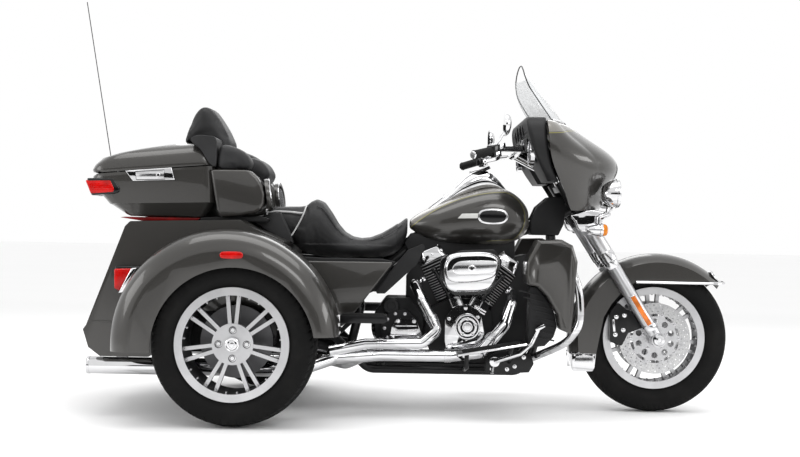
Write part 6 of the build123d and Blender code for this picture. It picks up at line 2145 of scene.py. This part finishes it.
def mirror(side, word, flip):
    """Stem, housing and glass of one mirror."""
    bm = bmesh.new()
    stem = [Vector((0.388, -0.352, 1.088)), Vector((0.398, -0.358, 1.112)), Vector((0.414, -0.374, 1.140)),
            Vector((0.430, -0.392, 1.164))]
    tube(bm, smooth_route([p * flip for p in stem], 5), 0.0058, 12)
    centre = Vector((0.418, -0.415, 1.176)) * flip
    rows = []
    for x, wide, tall, lift in ((0.000, 0.0735, 0.0445, 0), (0.0015, 0.0740, 0.0450, 0),
                                (0.005, 0.0738, 0.0448, 0),
                            (0.012, 0.070, 0.041, 0.0005), (0.018, 0.060, 0.033, 0.001),
                                (0.022, 0.040, 0.020, 0.002), (0.0225, 0.012, 0.006, 0.002)):
        rows.append([centre + Vector((x, y, lift + z)) for y, z in bent_ellipse(wide, tall, 0.85, 48)])
    skin(bm, rows)
    mirrors = from_bmesh(f"mirror_{word}", bm)
    finished(mirrors, "steering", "chrome")
    if side > 0:
        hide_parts("mirrors")
    bm = bmesh.new()
    glass = bent_ellipse(0.0700, 0.0410, 0.85, 48)
    plate(bm, glass, lambda u, v, d: centre + Vector((-0.0012 + d, u, v)), 0.0011)
    shaped(f"mirror_glass_{word}", bm, "steering", "mirror")


def bars():
    """Handlebar with grips, switch boxes, levers and mirrors."""
    dress("handlebar", "chrome", "steering", 0.0008, 1)
    start, end = Vector((0.296, -0.4284, 1.0529)), Vector((0.3672, -0.368, 1.0732))
    for side in SIDES:
        word = "left" if side > 0 else "right"
        flip = Vector((1, -side, 1))
        a, b = start * flip, end * flip
        along = (b - a).normalized()
        length = (b - a).length
        bm = bmesh.new()
        profile = [(-0.001, 0.0130), (-0.001, 0.0175), (0.004, 0.0190), (0.007, 0.0172)]
        steps = 16
        for i in range(steps):
            s = 0.008 + (length - 0.012) * i / steps
            profile += [(s, 0.0168), (s + 0.0012, 0.0176), (s + 0.0034, 0.0176), (s + 0.0046, 0.0168)]
        profile += [(length, 0.0180), (length, 0.0130)]
        lathe(bm, profile, a, along, 28)
        grip = from_bmesh(f"grip_{word}", bm)
        finished(grip, "steering", "rubber")
        bm = bmesh.new()
        lathe(bm, [(-0.006, 0.0), (-0.006, 0.013), (-0.003, 0.0165), (0.001, 0.017), (0.001, 0.0)], a,
              along, 24)
        shaped(f"grip_end_{word}", bm, "steering", "chrome")
        side_way = along.cross(Vector((0, 0, 1))).normalized()
        up = side_way.cross(along)
        turn = Matrix((along, side_way, up)).transposed()
        bm = bmesh.new()
        rounded_box(bm, b + along * 0.016, (0.032, 0.044, 0.046), turn)
        rounded_box(bm, b + along * 0.016 - up * 0.020 - side_way * 0.004 * side, (0.026, 0.030, 0.018),
                    turn)
        box = bevelled(f"switch_box_{word}", bm, 0.006, 3)
        finished(box, "steering", "gloss_black")
        if side > 0:
            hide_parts("hand_controls")
        bm = bmesh.new()
        for k in range(3):
            rounded_box(bm, b + along * (0.006 + 0.010 * k) - Vector((0.0225, 0, 0)) - up * 0.004,
                        (0.007, 0.006, 0.010), turn)
        finished(bevelled(f"switch_keys_{word}", bm, 0.0015), "steering", "plastic")
        bm = bmesh.new()
        lever = [Vector((0.384, -0.356, 1.060)), Vector((0.400, -0.372, 1.052)),
                 Vector((0.388, -0.400, 1.042)),
                 Vector((0.362, -0.428, 1.034)), Vector((0.340, -0.447, 1.027))]
        route = smooth_route([p * flip for p in lever], 6)
        tube(bm, route, 0.0065, 12, 0.0050, 1.5)
        lathe(bm, [(-0.009, 0.0), (-0.009, 0.006), (-0.005, 0.009), (0.005, 0.009), (0.009, 0.006),
                   (0.009, 0.0)],
              lever[-1] * flip, (0, 0, 1), 16)
        rounded_box(bm, Vector((0.392, -0.360, 1.062)) * flip, (0.030, 0.026, 0.022), turn)
        finished(bevelled(f"lever_{word}", bm, 0.003, 2), "steering", "chrome")
        bm = bmesh.new()
        rounded_box(bm, Vector((0.402, -0.336, 1.096)) * flip, (0.034, 0.048, 0.024), turn)
        finished(bevelled(f"fluid_box_{word}", bm, 0.004, 3), "steering", "chrome")

        mirror(side, word, flip)


class TRIKE_OT_bars(bpy.types.Operator):
    """Handlebar, grips, levers, switch boxes and mirrors"""

    bl_idname = "trike.bars"
    bl_label = "Bars"

    def execute(self, context):
        bars()
        return {"FINISHED"}


def fairing_and_screen():
    """Fairing shells and the screen with its rim and trim."""
    dress("fairing", "fairing", "steering", 0.0, 1)
    dress("inner_fairing", "plastic", "steering", 0.002, 2, 35)
    dress("windshield", "screen", "steering", 0.0015, 2, 40)
    bm = bmesh.new()
    corners = [(-0.250, 1.214), (-0.243, 1.285), (-0.2325, 1.345), (-0.198, 1.392), (-0.150, 1.425),
               (-0.080, 1.451),
               (0.0, 1.460), (0.080, 1.451), (0.150, 1.425), (0.198, 1.392), (0.2325, 1.345), (0.243, 1.285),
               (0.250, 1.214)]
    run = []
    for y, z in corners:
        lift = z - 1.2105
        run.append(Vector((0.276 - 0.209 * lift / 0.275 + (0.428 ** 2 - y * y) ** 0.5, y, z)))
    tube(bm, smooth_route(run, 5), 0.0026, 8)
    shaped("screen_rim", bm, "steering", "plastic")
    bm = bmesh.new()
    run = []
    for i in range(25):
        a = radians(-36 + 72 * i / 24)
        run.append(Vector((0.706 - 0.430 + 0.4305 * cos(a), 0.4305 * sin(a), 1.2105)))
    tube(bm, run, 0.0052, 8)
    shaped("screen_trim", bm, "steering", "chrome")


def dash():
    """Gauges, speakers and radio of the dash."""
    for index, (y, z, radius, kind) in enumerate((
        (-0.058, 1.160, 0.044, "dial"), (0.058, 1.160, 0.044, "dial"), (-0.152, 1.165, 0.030, "dial"),
        (0.152, 1.165, 0.030, "dial"), (-0.245, 1.080, 0.058, "cone"), (0.245, 1.080, 0.058, "cone"),
    )):
        x = 0.538 if kind == "dial" else 0.545
        centre, axis = Vector((x, y, z)), Vector((-1, 0, 0))
        bm = bmesh.new()
        lathe(bm, [(-0.006, radius - 0.0005), (0.010, radius - 0.0005), (0.013, radius - 0.003),
                   (0.012, radius - 0.006), (-0.002, radius - 0.007), (-0.006, radius - 0.007)],
              centre, axis, 40)
        shaped(f"dash_ring_{index}", bm, "steering", "chrome")
        bm = bmesh.new()
        if kind == "dial":
            lathe(bm, [(-0.005, radius - 0.0068), (0.001, radius - 0.0068), (0.0015, 0.0)], centre, axis, 36)
            shaped(f"dash_dial_{index}", bm, "steering", "dial")
            bm = bmesh.new()
            for k in range(23):
                a = radians(-125 + 250 * k / 22)
                out = Vector((0, sin(a), cos(a)))
                across = out.cross(axis)
                size = radius * (0.16 if k % 2 == 0 else 0.09)
                middle = centre + axis * 0.0020 + out * (radius - 0.0095 - size / 2)
                rounded_box(bm, middle, (size, 0.0010, 0.0006), Matrix((out, across, axis)).transposed())
            needle = Vector((0, sin(radians(-60)), cos(radians(-60))))
            rounded_box(bm, centre + axis * 0.0030 + needle * radius * 0.33, (radius * 0.62, 0.0014, 0.0008),
                        Matrix((needle, needle.cross(axis), axis)).transposed())
            shaped(f"dash_marks_{index}", bm, "steering", "dial_mark")
        else:
            lathe(bm, [(-0.005, radius - 0.0068), (0.002, radius - 0.0068), (0.008, radius * 0.55),
                       (0.010, 0.0)], centre, axis, 40)
            shaped(f"dash_grille_{index}", bm, "steering", "plastic")
            across, up = Vector((0, 1, 0)), Vector((0, 0, 1))
            dots = stud_places(centre, axis, across, up, 0.0090, 6, 0.0102, 0.0078, 0.051, 2)
            scatter(f"dash_studs_{index}", dots, stud_mesh(), "steering", "dark_alloy")
    bm = bmesh.new()
    rounded_box(bm, (0.527, 0, 1.116), (0.010, 0.124, 0.034))
    finished(bevelled("dash_radio", bm, 0.003, 2), "steering", "gloss_black")


class TRIKE_OT_fairing(bpy.types.Operator):
    """Fairing shells, gauges, speakers, screen"""

    bl_idname = "trike.fairing"
    bl_label = "Fairing and screen"

    def execute(self, context):
        fairing_and_screen()
        dash()
        return {"FINISHED"}


def lamp_shell(bm, x_back, x_face, y, z, radius, rear):
    """Bowl of a round lamp with its rolled front ring."""
    profile = [(x_back, 0.0), (x_back, rear * 0.8), (x_back + 0.002, rear)]
    for i in range(1, 13):
        t = i / 12
        profile.append((x_back + (x_face - 0.014 - x_back) * t,
                        rear + (radius - 0.004 - rear) * sin(t * pi / 2) ** 0.8))
    profile += [(x_face - 0.013, radius - 0.001), (x_face - 0.010, radius), (x_face - 0.004, radius),
                (x_face, radius - 0.003), (x_face + 0.0005, radius - 0.006),
                (x_face - 0.003, radius - 0.0085),
                (x_face - 0.010, radius - 0.010)]
    lathe(bm, profile, (0, y, z), (1, 0, 0), 56)


def lamp_inside(bm, x_back, x_face, y, z, radius):
    """Bright bowl behind the lens."""
    profile = []
    for i in range(9):
        t = i / 8
        profile.append((x_face - 0.010 - (x_face - 0.010 - x_back) * 0.55 * cos(t * pi / 2),
                        (radius - 0.010) * sin(t * pi / 2)))
    lathe(bm, profile, (0, y, z), (1, 0, 0), 48)


def round_lamps():
    """Shell, bowl and lens of each round lamp."""
    lamps = (
        ("headlamp", 0.800, 0.918, ((0.0, 0.938),), 0.090, 0.040, "clear"),
        ("passing_lamps", 0.838, 0.909, ((-0.206, 0.918), (0.206, 0.918)), 0.060, 0.026, "clear"),
        ("turn_signals", 0.779, 0.845, ((-0.206, 0.768), (0.206, 0.768)), 0.029, 0.014, "amber"),
    )
    for name, back, face, places, radius, rear, lens in lamps:
        bm = bmesh.new()
        for y, z in places:
            lamp_shell(bm, back, face, y, z, radius, rear)
        shaped(name + "_shell", bm, "steering", "chrome", (name,))
        bm = bmesh.new()
        for y, z in places:
            lamp_inside(bm, back, face, y, z, radius)
        shaped(name + "_bowl", bm, "steering", "satin_chrome")
        if lens == "amber":
            bm = bmesh.new()
            for y, z in places:
                lathe(bm, [(0.838, 0.025), (0.852, 0.025), (0.860, 0.022), (0.865, 0.013), (0.8665, 0.0)],
                      (0, y, z), (1, 0, 0), 40)
            shaped(name + "_lens", bm, "steering", lens)
            continue
        bm = bmesh.new()
        for y, z in places:
            profile = [(face - 0.010, radius - 0.0088)]
            profile += [(face - 0.006 + 0.012 * cos(t * pi / 16),
                         (radius - 0.0088) * sin(t * pi / 16)) for t in range(8, 0, -1)]
            profile.append((face + 0.006, 0.0))
            lathe(bm, profile, (0, y, z), (1, 0, 0), 48)
        shaped(name + "_lens", bm, "steering", lens)


def lamp_details():
    """Projectors, lamp bar and cheeks."""
    bm = bmesh.new()
    for y, z in ((-0.034, 0.938), (0.034, 0.938)):
        lathe(bm, [(0.862, 0.024), (0.892, 0.024), (0.894, 0.020), (0.898, 0.016), (0.900, 0.0)], (0, y, z),
              (1, 0, 0), 32)
    for y in (-0.206, 0.206):
        lathe(bm, [(0.870, 0.018), (0.888, 0.018), (0.892, 0.012), (0.894, 0.0)], (0, y, 0.918), (1, 0, 0),
              28)
    shaped("lamp_projectors", bm, "steering", "gloss_black")
    dress("lamp_bar", "chrome", "steering", 0.001, 1)
    # Chrome nacelle cheeks between the lamp bar and the signals
    bm = bmesh.new()
    for side in SIDES:
        outline = curve_outline([(0.716, 0.826), (0.735, 0.800), (0.752, 0.766), (0.790, 0.760),
                                 (0.832, 0.776), (0.850, 0.806), (0.868, 0.838), (0.800, 0.851),
                                 (0.750, 0.838)], 3)
        plate(bm, outline, lambda u, v, d, s=side: (u, s * (0.158 + d), v), 0.030)
    finished(bevelled("lamp_cheeks", bm, 0.008, 3), "steering", "chrome")


class TRIKE_OT_lamps(bpy.types.Operator):
    """Headlamp, passing lamps, turn signals and their bar"""

    bl_idname = "trike.lamps"
    bl_label = "Front lamps"

    def execute(self, context):
        round_lamps()
        lamp_details()
        return {"FINISHED"}


def guard_and_lowers():
    """Engine guard, painted lowers and radiators."""
    half = [(0.572, -0.170, 0.236), (0.610, -0.230, 0.262), (0.668, -0.320, 0.304), (0.706, -0.372, 0.350),
            (0.730, -0.383, 0.410), (0.726, -0.378, 0.520), (0.700, -0.357, 0.606), (0.678, -0.318, 0.652),
            (0.670, -0.260, 0.667), (0.668, -0.150, 0.668), (0.668, 0.0, 0.668)]
    bm = bmesh.new()
    route = [Vector(q) for q in half] + [Vector((x, -y, z)) for x, y, z in reversed(half[:-1])]
    tube(bm, smooth_route(route, 7), 0.0160, 24)
    shaped("engine_guard_tube", bm, "chassis", "chrome", ("engine_guard",))
    dress("fairing_lowers", "paint", "chassis", 0.006, 4, 30)
    dress("radiators", "plastic", "chassis", 0.004, 3)
    neck = [(566, 742), (562, 800), (590, 862), (640, 905), (700, 905), (716, 860), (706, 790), (684, 742)]
    finished(side_plate("neck_covers", neck, 0.040, 0.058, 0.006), "chassis", "plastic")
    bm = bmesh.new()
    for side in SIDES:
        for i in range(8):
            z = 0.330 + 0.026 * i
            x = 0.6485 - (0.0 if z < 0.42 else (z - 0.42) * 0.72)
            rounded_box(bm, (x - 0.050, side * 0.3335, z), (0.080, 0.004, 0.006),
                        Matrix.Rotation(radians(12), 3, "Y"))
    finished(bevelled("radiator_slats", bm, 0.001), "chassis", "plastic")


class TRIKE_OT_guard(bpy.types.Operator):
    """Engine guard, lowers and radiators"""

    bl_idname = "trike.guard"
    bl_label = "Guard and lowers"

    def execute(self, context):
        guard_and_lowers()
        return {"FINISHED"}


class TRIKE_PT_panel(bpy.types.Panel):
    """Lists the settings and the pieces"""

    bl_idname = "TRIKE_PT_panel"
    bl_label = "Touring trike"
    bl_space_type = "VIEW_3D"
    bl_region_type = "UI"
    bl_category = "Trike"

    def draw(self, context):
        layout = self.layout
        for settings in ("trike_paint", "trike_seat", "trike_wheels", "trike_view"):
            group = getattr(context.scene, settings)
            box = layout.box()
            for name in group.__annotations__:
                box.prop(group, name)
        for operator in OPERATORS:
            layout.operator(operator.bl_idname)


OPERATORS = (
    TRIKE_OT_stage, TRIKE_OT_tyres, TRIKE_OT_wheels, TRIKE_OT_engine, TRIKE_OT_exhaust, TRIKE_OT_frame,
    TRIKE_OT_bodywork, TRIKE_OT_top_case, TRIKE_OT_seats, TRIKE_OT_tank, TRIKE_OT_fork, TRIKE_OT_bars,
    TRIKE_OT_fairing, TRIKE_OT_lamps, TRIKE_OT_guard,
)
GROUPS = (("trike_paint", TrikePaint), ("trike_seat", TrikeSeat), ("trike_wheels", TrikeWheels),
          ("trike_view", TrikeView))


def register():
    for name, group in GROUPS:
        bpy.utils.register_class(group)
        setattr(bpy.types.Scene, name, bpy.props.PointerProperty(type=group))
    for operator in OPERATORS:
        bpy.utils.register_class(operator)
    bpy.utils.register_class(TRIKE_PT_panel)


def unregister():
    bpy.utils.unregister_class(TRIKE_PT_panel)
    for operator in reversed(OPERATORS):
        bpy.utils.unregister_class(operator)
    for name, group in reversed(GROUPS):
        delattr(bpy.types.Scene, name)
        bpy.utils.unregister_class(group)


def main():
    register()
    for operator in OPERATORS:
        group, name = operator.bl_idname.split(".")
        result = getattr(getattr(bpy.ops, group), name)()
        if "FINISHED" not in result:
            raise RuntimeError(f"{operator.bl_idname} did not finish")


if __name__ == "__main__":
    main()
